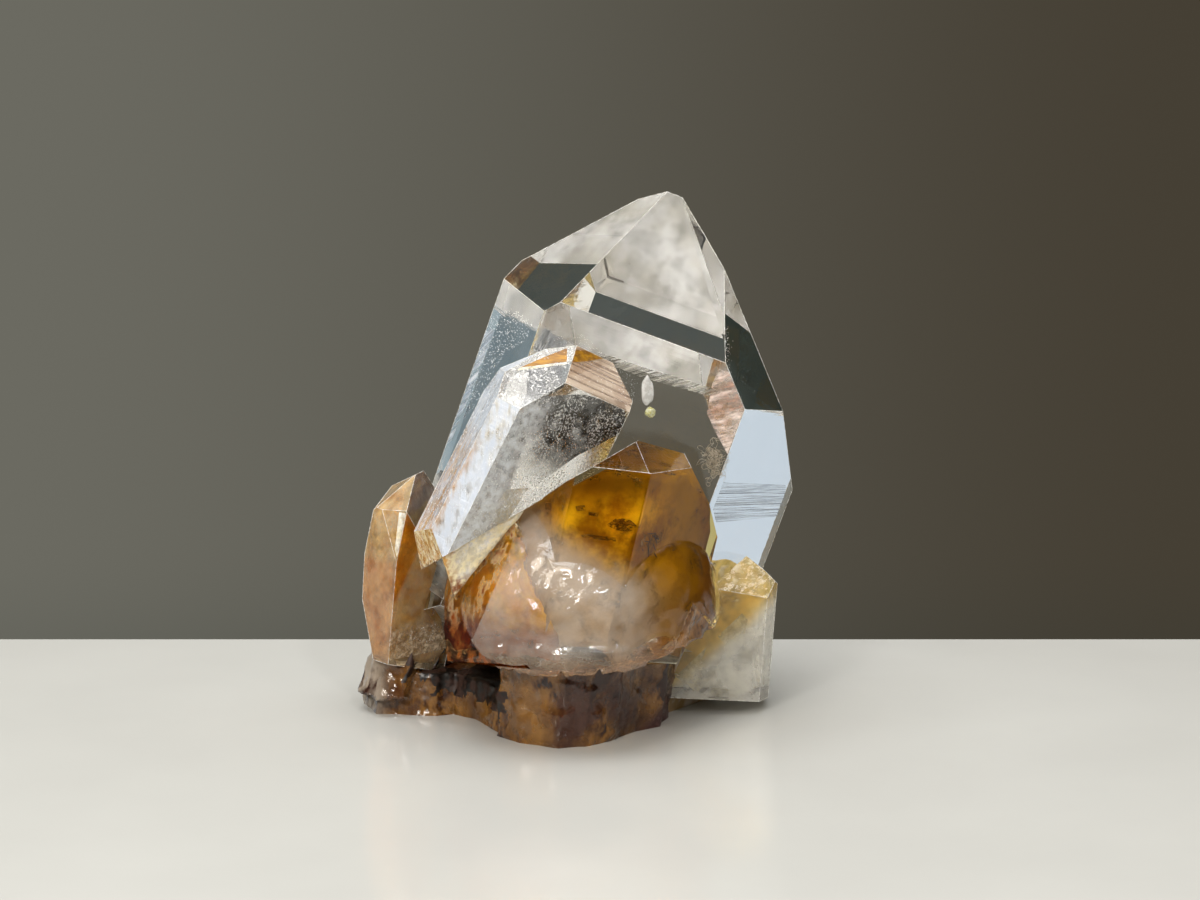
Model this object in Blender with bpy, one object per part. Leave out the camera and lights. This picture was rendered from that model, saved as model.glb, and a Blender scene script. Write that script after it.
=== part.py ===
"""A lemurian quartz cluster: one clear crystal with smaller stained crystals on its foot.

The whole thing grew as one piece, so it is built as one solid.  Every crystal is a
block cut by the flat faces of quartz, the broken places are rough blocks and a
shell-shaped dome, and all of them are fused.  The cluster broke off its matrix, and
the break is cut flat so that it stands.

Sizes are in millimetres until the last step.  +Z is up, and the clear crystal's
broad face looks towards -Y.
"""

import math
from dataclasses import dataclass

import bmesh
import bpy
from mathutils import Matrix, Vector, noise

NODE_NAME = "quartz_cluster"
COLLECTION_NAME = "lemurian_quartz_crystal"
CUTTER_COLLECTION_NAME = "cutters"
MM = 0.001

# Quartz: six side faces 60 degrees apart, and a tip face above each of them.
SIDE_STEP_DEG = 60.0
TIP_RISE_DEG = 38.2
BLANK_SIZE = 120.0
ROOT_DEPTH = 1.5
WELD_DISTANCE = 0.004


@dataclass(frozen=True)
class Face:
    """One flat face, given in its crystal's own frame.

    heading: degrees round the axis, 0 towards the front and 90 to the right.
    rise: degrees that the face looks up from square to the axis.
    reach: millimetres from the anchor to the face.
    """

    heading: float
    rise: float
    reach: float


@dataclass(frozen=True)
class Crystal:
    """A crystal's place, the lean of its axis, and the faces that bound it."""

    name: str
    anchor: tuple
    lean_right: float
    lean_back: float
    turn: float
    sides: tuple
    tips: tuple = ()
    extra: tuple = ()


@dataclass(frozen=True)
class Block:
    """A broken lump: an outline at its base, raised with a lean and a taper."""

    name: str
    outline: tuple
    base: float
    height: float
    lean: tuple
    taper: float
    roughness: float


CLEAR_POINT = Crystal(
    name="clear_point",
    anchor=(0.0, 0.0, 21.6),
    lean_right=19.4,
    lean_back=-2.6,
    turn=-5.4,
    sides=(6.0, 11.5, 16.0, 14.0, 11.4, 9.6),
    tips=(11.7, 14.2, 13.5, 14.75, 16.3, 13.85),
    extra=(Face(5.6, 40.9, 12.47), Face(-12.7, -51.8, 16.6)),
)
FROSTED_POINT = Crystal(
    name="frosted_point",
    anchor=(-4.3, -8.0, 21.7),
    lean_right=26.7,
    lean_back=6.0,
    turn=38.0,
    sides=(2.4, 4.0, 5.5, 5.0, 6.7, 7.3),
    tips=(6.05, 9.0, 9.5, 5.85, 8.6, 7.9),
    extra=(Face(45.3, -33.2, 2.1), Face(-108.3, -41.3, 10.74)),
)
AMBER_POINT = Crystal(
    name="amber_point",
    anchor=(0.9, -10.0, 17.8),
    lean_right=13.0,
    lean_back=0.0,
    turn=-6.0,
    sides=(4.4, 4.25, 10.0, 6.0),
    extra=(
        Face(-54.0, 0.0, 5.2),
        Face(-114.0, 0.0, 7.4),
        Face(-42.9, 78.9, 5.35),
        Face(17.4, 83.9, 5.6),
        Face(-96.4, 46.8, 4.4),
        Face(-92.9, 40.3, 4.6),
        Face(99.9, 39.4, 7.4),
        Face(96.6, 26.9, 7.7),
        Face(93.4, 12.5, 8.5),
        Face(87.7, -14.0, 9.7),
        Face(0.0, -85.0, 10.5),
    ),
)
TAN_POINT = Crystal(
    name="tan_point",
    anchor=(-15.0, -1.0, 12.0),
    lean_right=12.0,
    lean_back=0.0,
    turn=0.0,
    sides=(),
    extra=(
        Face(-41.9, 0.0, 3.85),
        Face(42.7, 0.0, 1.75),
        Face(95.0, 0.0, 4.0),
        Face(180.0, 0.0, 5.0),
        Face(-57.0, 46.6, 6.15),
        Face(74.5, 27.5, 2.0),
        Face(-88.5, 40.5, 6.05),
        Face(-102.9, 51.9, 6.9),
        Face(170.0, 45.0, 7.0),
        Face(-93.5, 25.2, 5.6),
        Face(-87.7, 0.0, 4.3),
        Face(-85.9, -8.3, 4.2),
        Face(-82.6, -21.0, 4.7),
        Face(-53.6, -8.6, 3.3),
        Face(0.0, -80.0, 8.0),
    ),
)
SIDE_POINT = Crystal(
    name="side_point",
    anchor=(10.0, 1.0, 8.0),
    lean_right=4.0,
    lean_back=0.0,
    turn=5.0,
    sides=(3.4,),
    extra=(
        Face(60.0, 0.0, 4.45),
        Face(80.4, 0.0, 4.4),
        Face(120.0, 0.0, 4.5),
        Face(180.0, 0.0, 4.0),
        Face(-90.0, 0.0, 5.0),
        Face(7.3, 45.1, 4.1),
        Face(94.4, 47.6, 4.85),
        Face(98.1, 54.2, 4.8),
        Face(119.0, 71.1, 5.05),
        Face(0.0, -88.0, 6.8),
    ),
)
AMBER_WEDGE = Crystal(
    name="amber_wedge",
    anchor=(-6.0, -9.0, 13.0),
    lean_right=0.0,
    lean_back=0.0,
    turn=0.0,
    sides=(),
    extra=(
        Face(-27.3, 13.4, 3.3),
        Face(-97.5, 38.5, 3.3),
        Face(-90.0, 13.2, 5.25),
        Face(-85.3, -6.1, 6.7),
        Face(0.0, 0.0, 5.6),
        Face(83.5, 29.7, 2.2),
        Face(75.0, 10.0, 4.2),
        Face(180.0, 0.0, 7.0),
        Face(10.0, -86.0, 6.2),
    ),
)
FROSTED_HEEL = Crystal(
    name="frosted_heel",
    anchor=FROSTED_POINT.anchor,
    lean_right=FROSTED_POINT.lean_right,
    lean_back=FROSTED_POINT.lean_back,
    turn=FROSTED_POINT.turn,
    sides=(2.1, 3.0, 5.0, 4.5, 6.4, 7.0),
    extra=(
        Face(47.3, -12.4, 0.85),
        Face(-124.5, -43.7, 9.8),
        Face(-126.6, -32.0, 8.8),
        Face(0.0, 90.0, -1.0),
    ),
)
BACK_POINT = Crystal(
    name="back_point",
    anchor=(-7.5, 13.4, 6.0),
    lean_right=-9.0,
    lean_back=12.0,
    turn=15.0,
    sides=(4.0, 3.6, 3.2, 3.4, 3.8, 3.1),
    tips=(7.6, 8.0, 7.0, 6.4, 7.4, 7.9),
)
CRYSTALS = (
    CLEAR_POINT, FROSTED_POINT, AMBER_POINT, TAN_POINT, SIDE_POINT, AMBER_WEDGE, FROSTED_HEEL,
    BACK_POINT,
)

FRONT_FOOT = Block(
    name="front_foot",
    outline=(
        (-8.2, -8.4), (-6.5, -10.4), (-3.3, -12.0), (-1.3, -11.5), (0.9, -9.8),
        (2.6, -7.2), (4.7, -5.7), (5.3, -2.9), (3.0, 2.0), (-6.0, 2.0),
    ),
    base=-ROOT_DEPTH,
    height=10.0,
    lean=(0.9, -0.6),
    taper=1.06,
    roughness=0.35,
)
LEFT_FOOT = Block(
    name="left_foot",
    outline=(
        (-19.6, 1.1), (-18.2, -2.1), (-16.0, -2.3), (-13.5, -2.6), (-12.0, -2.1), (-10.2, -3.7),
        (-8.0, -8.0), (-5.0, -4.0), (-6.0, 5.0), (-17.0, 6.0),
    ),
    base=-ROOT_DEPTH,
    height=4.9,
    lean=(0.2, 0.4),
    taper=1.0,
    roughness=0.3,
)
LEFT_KNOB = Block(
    name="left_knob",
    outline=((-20.0, -0.6), (-18.3, -3.0), (-16.0, -3.4), (-15.2, -1.5), (-15.0, 4.0), (-18.5, 4.0)),
    base=1.5,
    height=5.6,
    lean=(1.2, 0.8),
    taper=0.8,
    roughness=0.25,
)
BACK_FOOT = Block(
    name="back_foot",
    outline=(
        (-17.5, 1.5), (4.0, 1.0), (8.6, 4.6), (7.2, 11.0), (3.0, 15.0), (-3.0, 14.6),
        (-8.0, 16.4), (-13.5, 15.4), (-17.0, 11.5), (-19.2, 6.0),
    ),
    base=-ROOT_DEPTH,
    height=6.0,
    lean=(0.5, -0.8),
    taper=0.9,
    roughness=0.5,
)
BLOCKS = (FRONT_FOOT, LEFT_FOOT, LEFT_KNOB, BACK_FOOT)

# The shell-shaped break on the amber crystal, and the hollow under its rim.
DOME_CENTRE = (-1.5, -5.8, 10.2)
DOME_RADII = (11.0, 9.9, 9.8)
DOME_RIM_POINT = (-1.5, -15.5, 7.2)
DOME_RIM_NORMAL = (0.07, 0.12, -1.0)
DOME_FLATS = (((7.0, -11.0, 8.0), (0.80, -0.58, -0.15)),)
DOME_DETAIL = 4

# A rough block's facets: their longest side, and the spacing of its lumps.
ROUGH_FACET = 1.6
ROUGH_PASSES = 5
ROUGH_SPACING = 2.4
# Fixes the lumps' noise, which Blender otherwise seeds from the clock at each start.
ROUGH_SEED = 1795467997


def crystal_frame(crystal):
    """Rotation from a crystal's own frame to the object's."""
    lean_right = Matrix.Rotation(math.radians(crystal.lean_right), 3, "Y")
    lean_back = Matrix.Rotation(math.radians(-crystal.lean_back), 3, "X")
    turn = Matrix.Rotation(math.radians(crystal.turn), 3, "Z")
    return lean_right @ lean_back @ turn


def face_normal(frame, face):
    """Outward direction of a face, in the object's frame."""
    heading = math.radians(face.heading - 90.0)
    rise = math.radians(face.rise)
    flat = math.cos(rise)
    local = Vector((math.cos(heading) * flat, math.sin(heading) * flat, math.sin(rise)))
    return frame @ local


def cut_away(bm, point, normal):
    """Remove what lies beyond a plane, and close the block along it."""
    everything = bm.verts[:] + bm.edges[:] + bm.faces[:]
    cut = bmesh.ops.bisect_plane(
        bm, geom=everything, plane_co=point, plane_no=normal, clear_outer=True
    )
    rim = [item for item in cut["geom_cut"] if isinstance(item, bmesh.types.BMEdge)]
    if rim:
        bmesh.ops.contextual_create(bm, geom=rim)


def crystal_mesh(crystal):
    """Cut one crystal out of a cube, face by face."""
    frame = crystal_frame(crystal)
    anchor = Vector(crystal.anchor)
    faces = [Face(SIDE_STEP_DEG * i, 0.0, reach) for i, reach in enumerate(crystal.sides)]
    faces += [Face(SIDE_STEP_DEG * i, TIP_RISE_DEG, reach) for i, reach in enumerate(crystal.tips)]
    faces += list(crystal.extra)
    bm = bmesh.new()
    bmesh.ops.create_cube(bm, size=BLANK_SIZE, matrix=Matrix.Translation(anchor))
    for face in faces:
        normal = face_normal(frame, face)
        cut_away(bm, anchor + normal * face.reach, normal)
    cut_away(bm, Vector((0.0, 0.0, -ROOT_DEPTH)), Vector((0.0, 0.0, -1.0)))
    return bm


def roughen(bm, amount):
    """Break flat sides into small facets, the same way each time."""
    bmesh.ops.triangulate(bm, faces=bm.faces[:])
    for _ in range(ROUGH_PASSES):
        long_edges = [edge for edge in bm.edges if edge.calc_length() > ROUGH_FACET]
        if not long_edges:
            break
        bmesh.ops.subdivide_edges(bm, edges=long_edges, cuts=1)
        bmesh.ops.triangulate(bm, faces=bm.faces[:])
    for vert in bm.verts:
        vert.co += noise.noise_vector(vert.co / ROUGH_SPACING) * amount


def block_mesh(block):
    """Raise a block's outline into a rough lump."""
    bm = bmesh.new()
    low = [bm.verts.new((x, y, block.base)) for x, y in block.outline]
    floor = bm.faces.new(low)
    centre = floor.calc_center_median()
    raised = bmesh.ops.extrude_face_region(bm, geom=[floor])
    top = [item for item in raised["geom"] if isinstance(item, bmesh.types.BMVert)]
    lift = Vector((block.lean[0], block.lean[1], block.height))
    bmesh.ops.scale(
        bm, verts=top, vec=(block.taper, block.taper, 1.0), space=Matrix.Translation(-centre)
    )
    bmesh.ops.translate(bm, verts=top, vec=lift)
    bmesh.ops.recalc_face_normals(bm, faces=bm.faces[:])
    roughen(bm, block.roughness)
    return bm


def dome_mesh():
    """The shell-shaped break: a flattened ball, cut off below its rim."""
    bm = bmesh.new()
    placed = Matrix.Translation(DOME_CENTRE) @ Matrix.Diagonal((*DOME_RADII, 1.0))
    bmesh.ops.create_icosphere(bm, subdivisions=DOME_DETAIL, radius=1.0, matrix=placed)
    cut_away(bm, Vector(DOME_RIM_POINT), Vector(DOME_RIM_NORMAL).normalized())
    for point, normal in DOME_FLATS:
        cut_away(bm, Vector(point), Vector(normal).normalized())
    return bm


def add_object(name, bm, collection):
    """Turn a bmesh into an object in a collection."""
    mesh = bpy.data.meshes.new(name)
    bm.to_mesh(mesh)
    bm.free()
    item = bpy.data.objects.new(name, mesh)
    collection.objects.link(item)
    return item


def apply_boolean(body, tool, operation):
    """Join or cut a body with a tool, exactly."""
    step = body.modifiers.new(operation.lower(), "BOOLEAN")
    step.object = tool
    step.operation = operation
    step.solver = "EXACT"
    depsgraph = bpy.context.evaluated_depsgraph_get()
    result = bpy.data.meshes.new_from_object(body.evaluated_get(depsgraph))
    body.modifiers.clear()
    old = body.data
    body.data = result
    bpy.data.meshes.remove(old)


def finish_body(body):
    """Cut the foot flat, centre the cluster over the origin, and go to metres."""
    bm = bmesh.new()
    bm.from_mesh(body.data)
    cut_away(bm, Vector((0.0, 0.0, 0.0)), Vector((0.0, 0.0, -1.0)))
    bmesh.ops.remove_doubles(bm, verts=bm.verts[:], dist=WELD_DISTANCE)
    bmesh.ops.dissolve_degenerate(bm, edges=bm.edges[:], dist=WELD_DISTANCE)
    bmesh.ops.triangulate(bm, faces=bm.faces[:])
    xs = [vert.co.x for vert in bm.verts]
    ys = [vert.co.y for vert in bm.verts]
    middle = Vector(((min(xs) + max(xs)) / 2.0, (min(ys) + max(ys)) / 2.0, 0.0))
    bmesh.ops.translate(bm, verts=bm.verts[:], vec=-middle)
    bmesh.ops.scale(bm, verts=bm.verts[:], vec=(MM, MM, MM))
    bmesh.ops.recalc_face_normals(bm, faces=bm.faces[:])
    bm.to_mesh(body.data)
    bm.free()


def quartz_material():
    """Clear quartz with a faint smoky warmth."""
    material = bpy.data.materials.new("clear_quartz")
    material.use_nodes = True
    shader = material.node_tree.nodes["Principled BSDF"]
    shader.inputs["Base Color"].default_value = (0.78, 0.70, 0.55, 1.0)
    shader.inputs["Roughness"].default_value = 0.08
    shader.inputs["Metallic"].default_value = 0.0
    shader.inputs["IOR"].default_value = 1.544
    shader.inputs["Transmission Weight"].default_value = 0.8
    material.diffuse_color = (0.78, 0.70, 0.55, 1.0)
    return material


def new_collection(name):
    """A collection linked to the scene."""
    collection = bpy.data.collections.new(name)
    bpy.context.scene.collection.children.link(collection)
    return collection


def main():
    for item in list(bpy.data.objects):
        bpy.data.objects.remove(item, do_unlink=True)
    noise.seed_set(ROUGH_SEED)
    made = new_collection(COLLECTION_NAME)
    tools = new_collection(CUTTER_COLLECTION_NAME)
    body = add_object(NODE_NAME, crystal_mesh(CLEAR_POINT), made)
    joined = [add_object(item.name, crystal_mesh(item), tools) for item in CRYSTALS[1:]]
    joined += [add_object(item.name, block_mesh(item), tools) for item in BLOCKS]
    joined.append(add_object("shell_dome", dome_mesh(), tools))
    for tool in joined:
        tool.display_type = "WIRE"
        tool.hide_render = True
        apply_boolean(body, tool, "UNION")
    finish_body(body)
    body.data.materials.clear()
    body.data.materials.append(quartz_material())


main()
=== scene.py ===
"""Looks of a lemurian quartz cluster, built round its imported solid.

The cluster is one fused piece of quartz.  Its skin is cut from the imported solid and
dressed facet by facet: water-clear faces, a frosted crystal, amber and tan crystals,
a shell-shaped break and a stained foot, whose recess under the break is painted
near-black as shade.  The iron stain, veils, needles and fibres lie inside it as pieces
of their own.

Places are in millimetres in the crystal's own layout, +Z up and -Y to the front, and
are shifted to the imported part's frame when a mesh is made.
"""

import logging
import math
from dataclasses import dataclass
from enum import Enum
from typing import Callable, Iterable, Sequence

import bmesh
import bpy
import numpy as np
from mathutils import Matrix, Vector, noise


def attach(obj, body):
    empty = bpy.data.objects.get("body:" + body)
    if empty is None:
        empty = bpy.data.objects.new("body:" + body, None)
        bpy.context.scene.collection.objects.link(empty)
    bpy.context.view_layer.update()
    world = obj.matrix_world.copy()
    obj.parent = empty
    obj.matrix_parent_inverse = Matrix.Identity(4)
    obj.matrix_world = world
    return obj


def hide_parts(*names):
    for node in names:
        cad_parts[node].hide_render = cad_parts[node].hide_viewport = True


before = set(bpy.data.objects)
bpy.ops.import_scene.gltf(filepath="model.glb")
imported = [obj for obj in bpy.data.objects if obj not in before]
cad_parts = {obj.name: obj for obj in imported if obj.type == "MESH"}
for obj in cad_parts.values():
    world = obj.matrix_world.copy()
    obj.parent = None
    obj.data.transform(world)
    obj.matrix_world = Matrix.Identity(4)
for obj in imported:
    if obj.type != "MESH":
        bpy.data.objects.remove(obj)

LOG = logging.getLogger("lemurian_quartz")
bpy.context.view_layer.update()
BODY = "root"
CAD_NODE = "quartz_cluster"
MM = 0.001

# Where the tip of the clear crystal stands in the layout, in millimetres.
TIP_XY = (5.38595, 1.15151)
# Quartz's own angles in degrees: between side faces, and a tip face's rise from the axis' square.
SIDE_STEP = 60.0
TIP_RISE = 38.2
QUARTZ_IOR = 1.544
# Fixes the wandering of clouds and frayed edges, which Blender otherwise seeds from the clock.
WANDER_SEED = 7
# The colour sockets of Blender's Mix node, whose names its other sockets share.
MIX_UNDER, MIX_OVER, MIX_RESULT = 6, 7, 2
# The noise value above which a mask of no cover shows, and how far full cover lowers it.
NO_COVER = 0.68
FULL_COVER = 0.36
# Depth of relief as a share of its spacing, and size of a cloud's holes as a share of its patches'.
RIPPLE_DEPTH = 0.15
LINE_DEPTH = 0.2
HOLE_SIZE = 0.6
# A full circle about each axis in radians, for flakes that may lie any way round.
FULL_TURN = (6.283, 6.283, 6.283)
# The block that inner bodies are cut from and the spacing of their wandering, and the width of a
# tube's ends as a share of its middle's.
BLOCK_MM = 100.0
WANDER_SPACING_MM = 2.5
TUBE_END = 0.35

Tree = bpy.types.NodeTree
Node = bpy.types.Node
Socket = bpy.types.NodeSocket
Material = bpy.types.Material
Piece = bpy.types.Object
BMesh = bmesh.types.BMesh
BMEdge = bmesh.types.BMEdge
Test = Callable[[BMEdge], bool]
Pair = tuple[float, float]
Triple = tuple[float, float, float]
Quad = tuple[float, float, float, float]

# Directions in the layout, along which colours and veils set in.
FROSTED_AXIS = (0.447, 0.105, 0.888)
FROSTED_LEFT = (-0.893, 0.0, 0.45)
UP = (0.0, 0.0, 1.0)
DOWN = (0.0, 0.0, -1.0)
LEFT = (-1.0, 0.0, 0.0)
RIGHT = (1.0, 0.0, 0.0)
DOME_TOP = (0.5, 0.0, 0.87)
GOLD_SIDE = (-0.66, 0.0, 0.75)
PALE_SIDE = (0.66, 0.0, -0.75)
RUSTY_LEFT = (-0.907, 0.0, 0.42)
LOWER_RIGHT = (0.707, 0.0, -0.707)


# ---------------------------------------------------------------- small helpers


def linear(code: str) -> Quad:
    """Turn an sRGB hex colour into linear light.

    Args:
        code: the colour as "#rrggbb".

    Returns:
        Linear red, green, blue and an alpha of one.
    """
    parts = [int(code[i : i + 2], 16) / 255.0 for i in (1, 3, 5)]
    light = [c / 12.92 if c <= 0.04045 else ((c + 0.055) / 1.055) ** 2.4 for c in parts]
    return (light[0], light[1], light[2], 1.0)


def add_node(tree: Tree, kind: str, values: dict | None = None, links: dict | None = None,
             **settings: object) -> Node:
    """Add one node with its settings, plain input values and links.

    Args:
        tree: the node tree that gets the node.
        kind: the node's type name.
        values: plain values by input name or number.
        links: sockets to plug in, by input name or number.
        **settings: the node's own properties.

    Returns:
        The new node.
    """
    made = tree.nodes.new(kind)
    for name, value in settings.items():
        setattr(made, name, value)
    for name, value in (values or {}).items():
        made.inputs[name].default_value = value
    for name, socket in (links or {}).items():
        tree.links.new(socket, made.inputs[name])
    return made


def start_material(name: str) -> tuple[Material, Tree, Node, Socket]:
    """Start a node-based material that is drawn on Object coordinates.

    Args:
        name: the material's name.

    Returns:
        The material, its tree, its shader and its Object coordinates.
    """
    material = bpy.data.materials.new(name)
    material.use_nodes = True
    tree = material.node_tree
    where = add_node(tree, "ShaderNodeTexCoord").outputs["Object"]
    return material, tree, tree.nodes["Principled BSDF"], where


def layout_shift() -> Vector:
    """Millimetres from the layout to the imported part's frame, found at the tip."""
    tip = max(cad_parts[CAD_NODE].data.vertices, key=lambda v: v.co.z).co / MM
    return Vector((tip.x - TIP_XY[0], tip.y - TIP_XY[1], 0.0))


SHIFT = layout_shift()


def placed(point: Sequence[float]) -> Vector:
    """A layout point in metres in the part's frame."""
    return (Vector(point) + SHIFT) * MM


def in_layout(place: Vector) -> Vector:
    """A place in the part's frame as a layout point in millimetres."""
    return place / MM - SHIFT


def finish_piece(item: Piece, replaces: bool = False) -> Piece:
    """Let a finished piece ride on the part.

    Args:
        item: the piece, with its place in its mesh.
        replaces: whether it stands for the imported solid.

    Returns:
        The same piece.
    """
    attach(item, BODY)
    if replaces:
        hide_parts(CAD_NODE)
    LOG.info("%s: %d faces", item.name, len(item.data.polygons))
    return item


def link_object(name: str, data: bpy.types.ID) -> Piece:
    """Put new object data into the scene.

    Args:
        name: the object's name.
        data: its mesh, light or camera.

    Returns:
        The object.
    """
    item = bpy.data.objects.new(name, data)
    bpy.context.scene.collection.objects.link(item)
    return item


def new_object(name: str, bm: BMesh, materials: Iterable[Material]) -> Piece:
    """Turn a bmesh into an object with its materials.

    Args:
        name: the piece's name.
        bm: its mesh in metres, which is freed.
        materials: its material slots in order.

    Returns:
        The object, linked to the scene.
    """
    mesh = bpy.data.meshes.new(name)
    bm.to_mesh(mesh)
    bm.free()
    for material in materials:
        mesh.materials.append(material)
    return link_object(name, mesh)


def cut_beyond(bm: BMesh, place: Vector, normal: Vector, cap: bool = True) -> None:
    """Remove what lies beyond a plane.

    Args:
        bm: the mesh.
        place: a point of the plane, in the mesh's own units.
        normal: the direction that is removed.
        cap: whether the cut is closed with a face.
    """
    everything = bm.verts[:] + bm.edges[:] + bm.faces[:]
    cut = bmesh.ops.bisect_plane(bm, geom=everything, plane_co=place, plane_no=normal, clear_outer=True)
    rim = [item for item in cut["geom_cut"] if isinstance(item, BMEdge)]
    if rim and cap:
        bmesh.ops.contextual_create(bm, geom=rim)


def split_long(bm: BMesh, longest: float, rounds: int, wanted: Test | None = None) -> None:
    """Halve long edges until none is left or the rounds are over.

    Args:
        bm: the mesh, which stays in triangles.
        longest: the length that an edge may have, in the mesh's own units.
        rounds: how many times edges are halved at most.
        wanted: tells which edges count, where not all do.
    """
    for _ in range(rounds):
        long_edges = [e for e in bm.edges if e.calc_length() > longest and (wanted is None or wanted(e))]
        if not long_edges:
            break
        bmesh.ops.subdivide_edges(bm, edges=long_edges, cuts=1)
        bmesh.ops.triangulate(bm, faces=[facet for facet in bm.faces if len(facet.verts) > 3])


def settle(bm: BMesh) -> BMesh:
    """Smooth a mesh and bring it to the part's frame.

    Args:
        bm: the mesh, in the layout's millimetres.

    Returns:
        The same mesh, in metres.
    """
    for facet in bm.faces:
        facet.smooth = True
    bmesh.ops.translate(bm, verts=bm.verts[:], vec=SHIFT)
    bmesh.ops.scale(bm, verts=bm.verts[:], vec=(MM, MM, MM))
    return bm


def uneven(point: Vector, lumps: Sequence[Pair], start: float = 0.0) -> float:
    """A start value plus smooth lumps, each an amount and a spacing in millimetres."""
    return sum((amount * noise.noise(point / spacing) for amount, spacing in lumps), start)


def share_of(value: float) -> float:
    """A value kept between nought and one."""
    return min(max(value, 0.0), 1.0)


# ---------------------------------------------------------------- where facets belong


class Zone(Enum):
    """The kinds of surface on the cluster, in the order of the skin's slots."""

    CLEAR = 0
    FROSTED = 1
    AMBER = 2
    TAN = 3
    SIDE = 4
    WEDGE = 5
    HEEL = 6
    BACK = 7
    DOME = 8
    FOOT = 9
    CUT = 10
    STREAKED = 11
    RIBBED = 12
    SMOKY = 13
    RUSTY = 14
    GOLDEN = 15
    TIP = 16
    GAP = 17


@dataclass(frozen=True)
class CrystalFaces:
    """One crystal of the cluster: its frame and the faces that bound it.

    sides and tips hold the reach of each face from the anchor, sixty degrees apart;
    extra holds (heading, rise, reach) of its other faces.
    """

    zone: Zone
    anchor: Triple
    lean_right: float
    lean_back: float
    turn: float
    sides: tuple[float, ...] = ()
    tips: tuple[float, ...] = ()
    extra: tuple[Triple, ...] = ()

    def frame(self) -> Matrix:
        """Work out how the crystal is turned.

        Returns:
            Rotation from the crystal's own frame to the layout.
        """
        right = Matrix.Rotation(math.radians(self.lean_right), 3, "Y")
        back = Matrix.Rotation(math.radians(-self.lean_back), 3, "X")
        return right @ back @ Matrix.Rotation(math.radians(self.turn), 3, "Z")

    def planes(self) -> list[tuple[Vector, float]]:
        """Work out the crystal's faces.

        Returns:
            The outward normal and reach of each face, in order.
        """
        faces = [(SIDE_STEP * i, 0.0, reach) for i, reach in enumerate(self.sides)]
        faces += [(SIDE_STEP * i, TIP_RISE, reach) for i, reach in enumerate(self.tips)]
        faces += list(self.extra)
        turned = self.frame()
        found = []
        for heading, rise, reach in faces:
            angle = math.radians(heading - 90.0)
            up = math.radians(rise)
            flat = math.cos(up)
            outward = Vector((math.cos(angle) * flat, math.sin(angle) * flat, math.sin(up)))
            found.append((turned @ outward, reach))
        return found

    def on_face(self, face: int, x: float, z: float, depth: float = 0.0) -> Vector:
        """A layout point on one face, or under it, with a given x and z.

        Args:
            face: the face's number.
            x: millimetres to the right.
            z: millimetres above the floor.
            depth: millimetres under the face.

        Returns:
            The point in the layout's millimetres.
        """
        normal, reach = self.planes()[face]
        anchor = Vector(self.anchor)
        flat = normal.x * (x - anchor.x) + normal.z * (z - anchor.z)
        return Vector((x, anchor.y + (reach - flat) / normal.y, z)) - normal * depth

    def trim(self, bm: BMesh, inset: float, floor_gap: float, cap: bool) -> None:
        """Trim a mesh in the layout to what lies inside the crystal.

        Args:
            bm: the mesh.
            inset: millimetres that it keeps from the crystal's faces.
            floor_gap: millimetres that it keeps from the floor besides.
            cap: whether the cuts are closed.
        """
        anchor = Vector(self.anchor)
        for normal, reach in [*self.planes(), (Vector(DOWN), anchor.z - floor_gap)]:
            cut_beyond(bm, anchor + normal * (reach - inset), normal, cap)


CLEAR_POINT = CrystalFaces(
    Zone.CLEAR, (0.0, 0.0, 21.6), 19.4, -2.6, -5.4,
    (6.0, 11.5, 16.0, 14.0, 11.4, 9.6), (11.7, 14.2, 13.5, 14.75, 16.3, 13.85),
    ((5.6, 40.9, 12.47), (-12.7, -51.8, 16.6)),
)
FROSTED_POINT = CrystalFaces(
    Zone.FROSTED, (-4.3, -8.0, 21.7), 26.7, 6.0, 38.0,
    (2.4, 4.0, 5.5, 5.0, 6.7, 7.3), (6.05, 9.0, 9.5, 5.85, 8.6, 7.9),
    ((45.3, -33.2, 2.1), (-108.3, -41.3, 10.74)),
)
AMBER_POINT = CrystalFaces(
    Zone.AMBER, (0.9, -10.0, 17.8), 13.0, 0.0, -6.0, (4.4, 4.25, 10.0, 6.0), (),
    (
        (-54.0, 0.0, 5.2), (-114.0, 0.0, 7.4), (-42.9, 78.9, 5.35), (17.4, 83.9, 5.6),
        (-96.4, 46.8, 4.4), (-92.9, 40.3, 4.6), (99.9, 39.4, 7.4), (96.6, 26.9, 7.7),
        (93.4, 12.5, 8.5), (87.7, -14.0, 9.7), (0.0, -85.0, 10.5),
    ),
)
TAN_POINT = CrystalFaces(
    Zone.TAN, (-15.0, -1.0, 12.0), 12.0, 0.0, 0.0, (), (),
    (
        (-41.9, 0.0, 3.85), (42.7, 0.0, 1.75), (95.0, 0.0, 4.0), (180.0, 0.0, 5.0), (-57.0, 46.6, 6.15),
        (74.5, 27.5, 2.0), (-88.5, 40.5, 6.05), (-102.9, 51.9, 6.9), (170.0, 45.0, 7.0),
        (-93.5, 25.2, 5.6), (-87.7, 0.0, 4.3), (-85.9, -8.3, 4.2), (-82.6, -21.0, 4.7),
        (-53.6, -8.6, 3.3), (0.0, -80.0, 8.0),
    ),
)
SIDE_POINT = CrystalFaces(
    Zone.SIDE, (10.0, 1.0, 8.0), 4.0, 0.0, 5.0, (3.4,), (),
    (
        (60.0, 0.0, 4.45), (80.4, 0.0, 4.4), (120.0, 0.0, 4.5), (180.0, 0.0, 4.0), (-90.0, 0.0, 5.0),
        (7.3, 45.1, 4.1), (94.4, 47.6, 4.85), (98.1, 54.2, 4.8), (119.0, 71.1, 5.05), (0.0, -88.0, 6.8),
    ),
)
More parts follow.
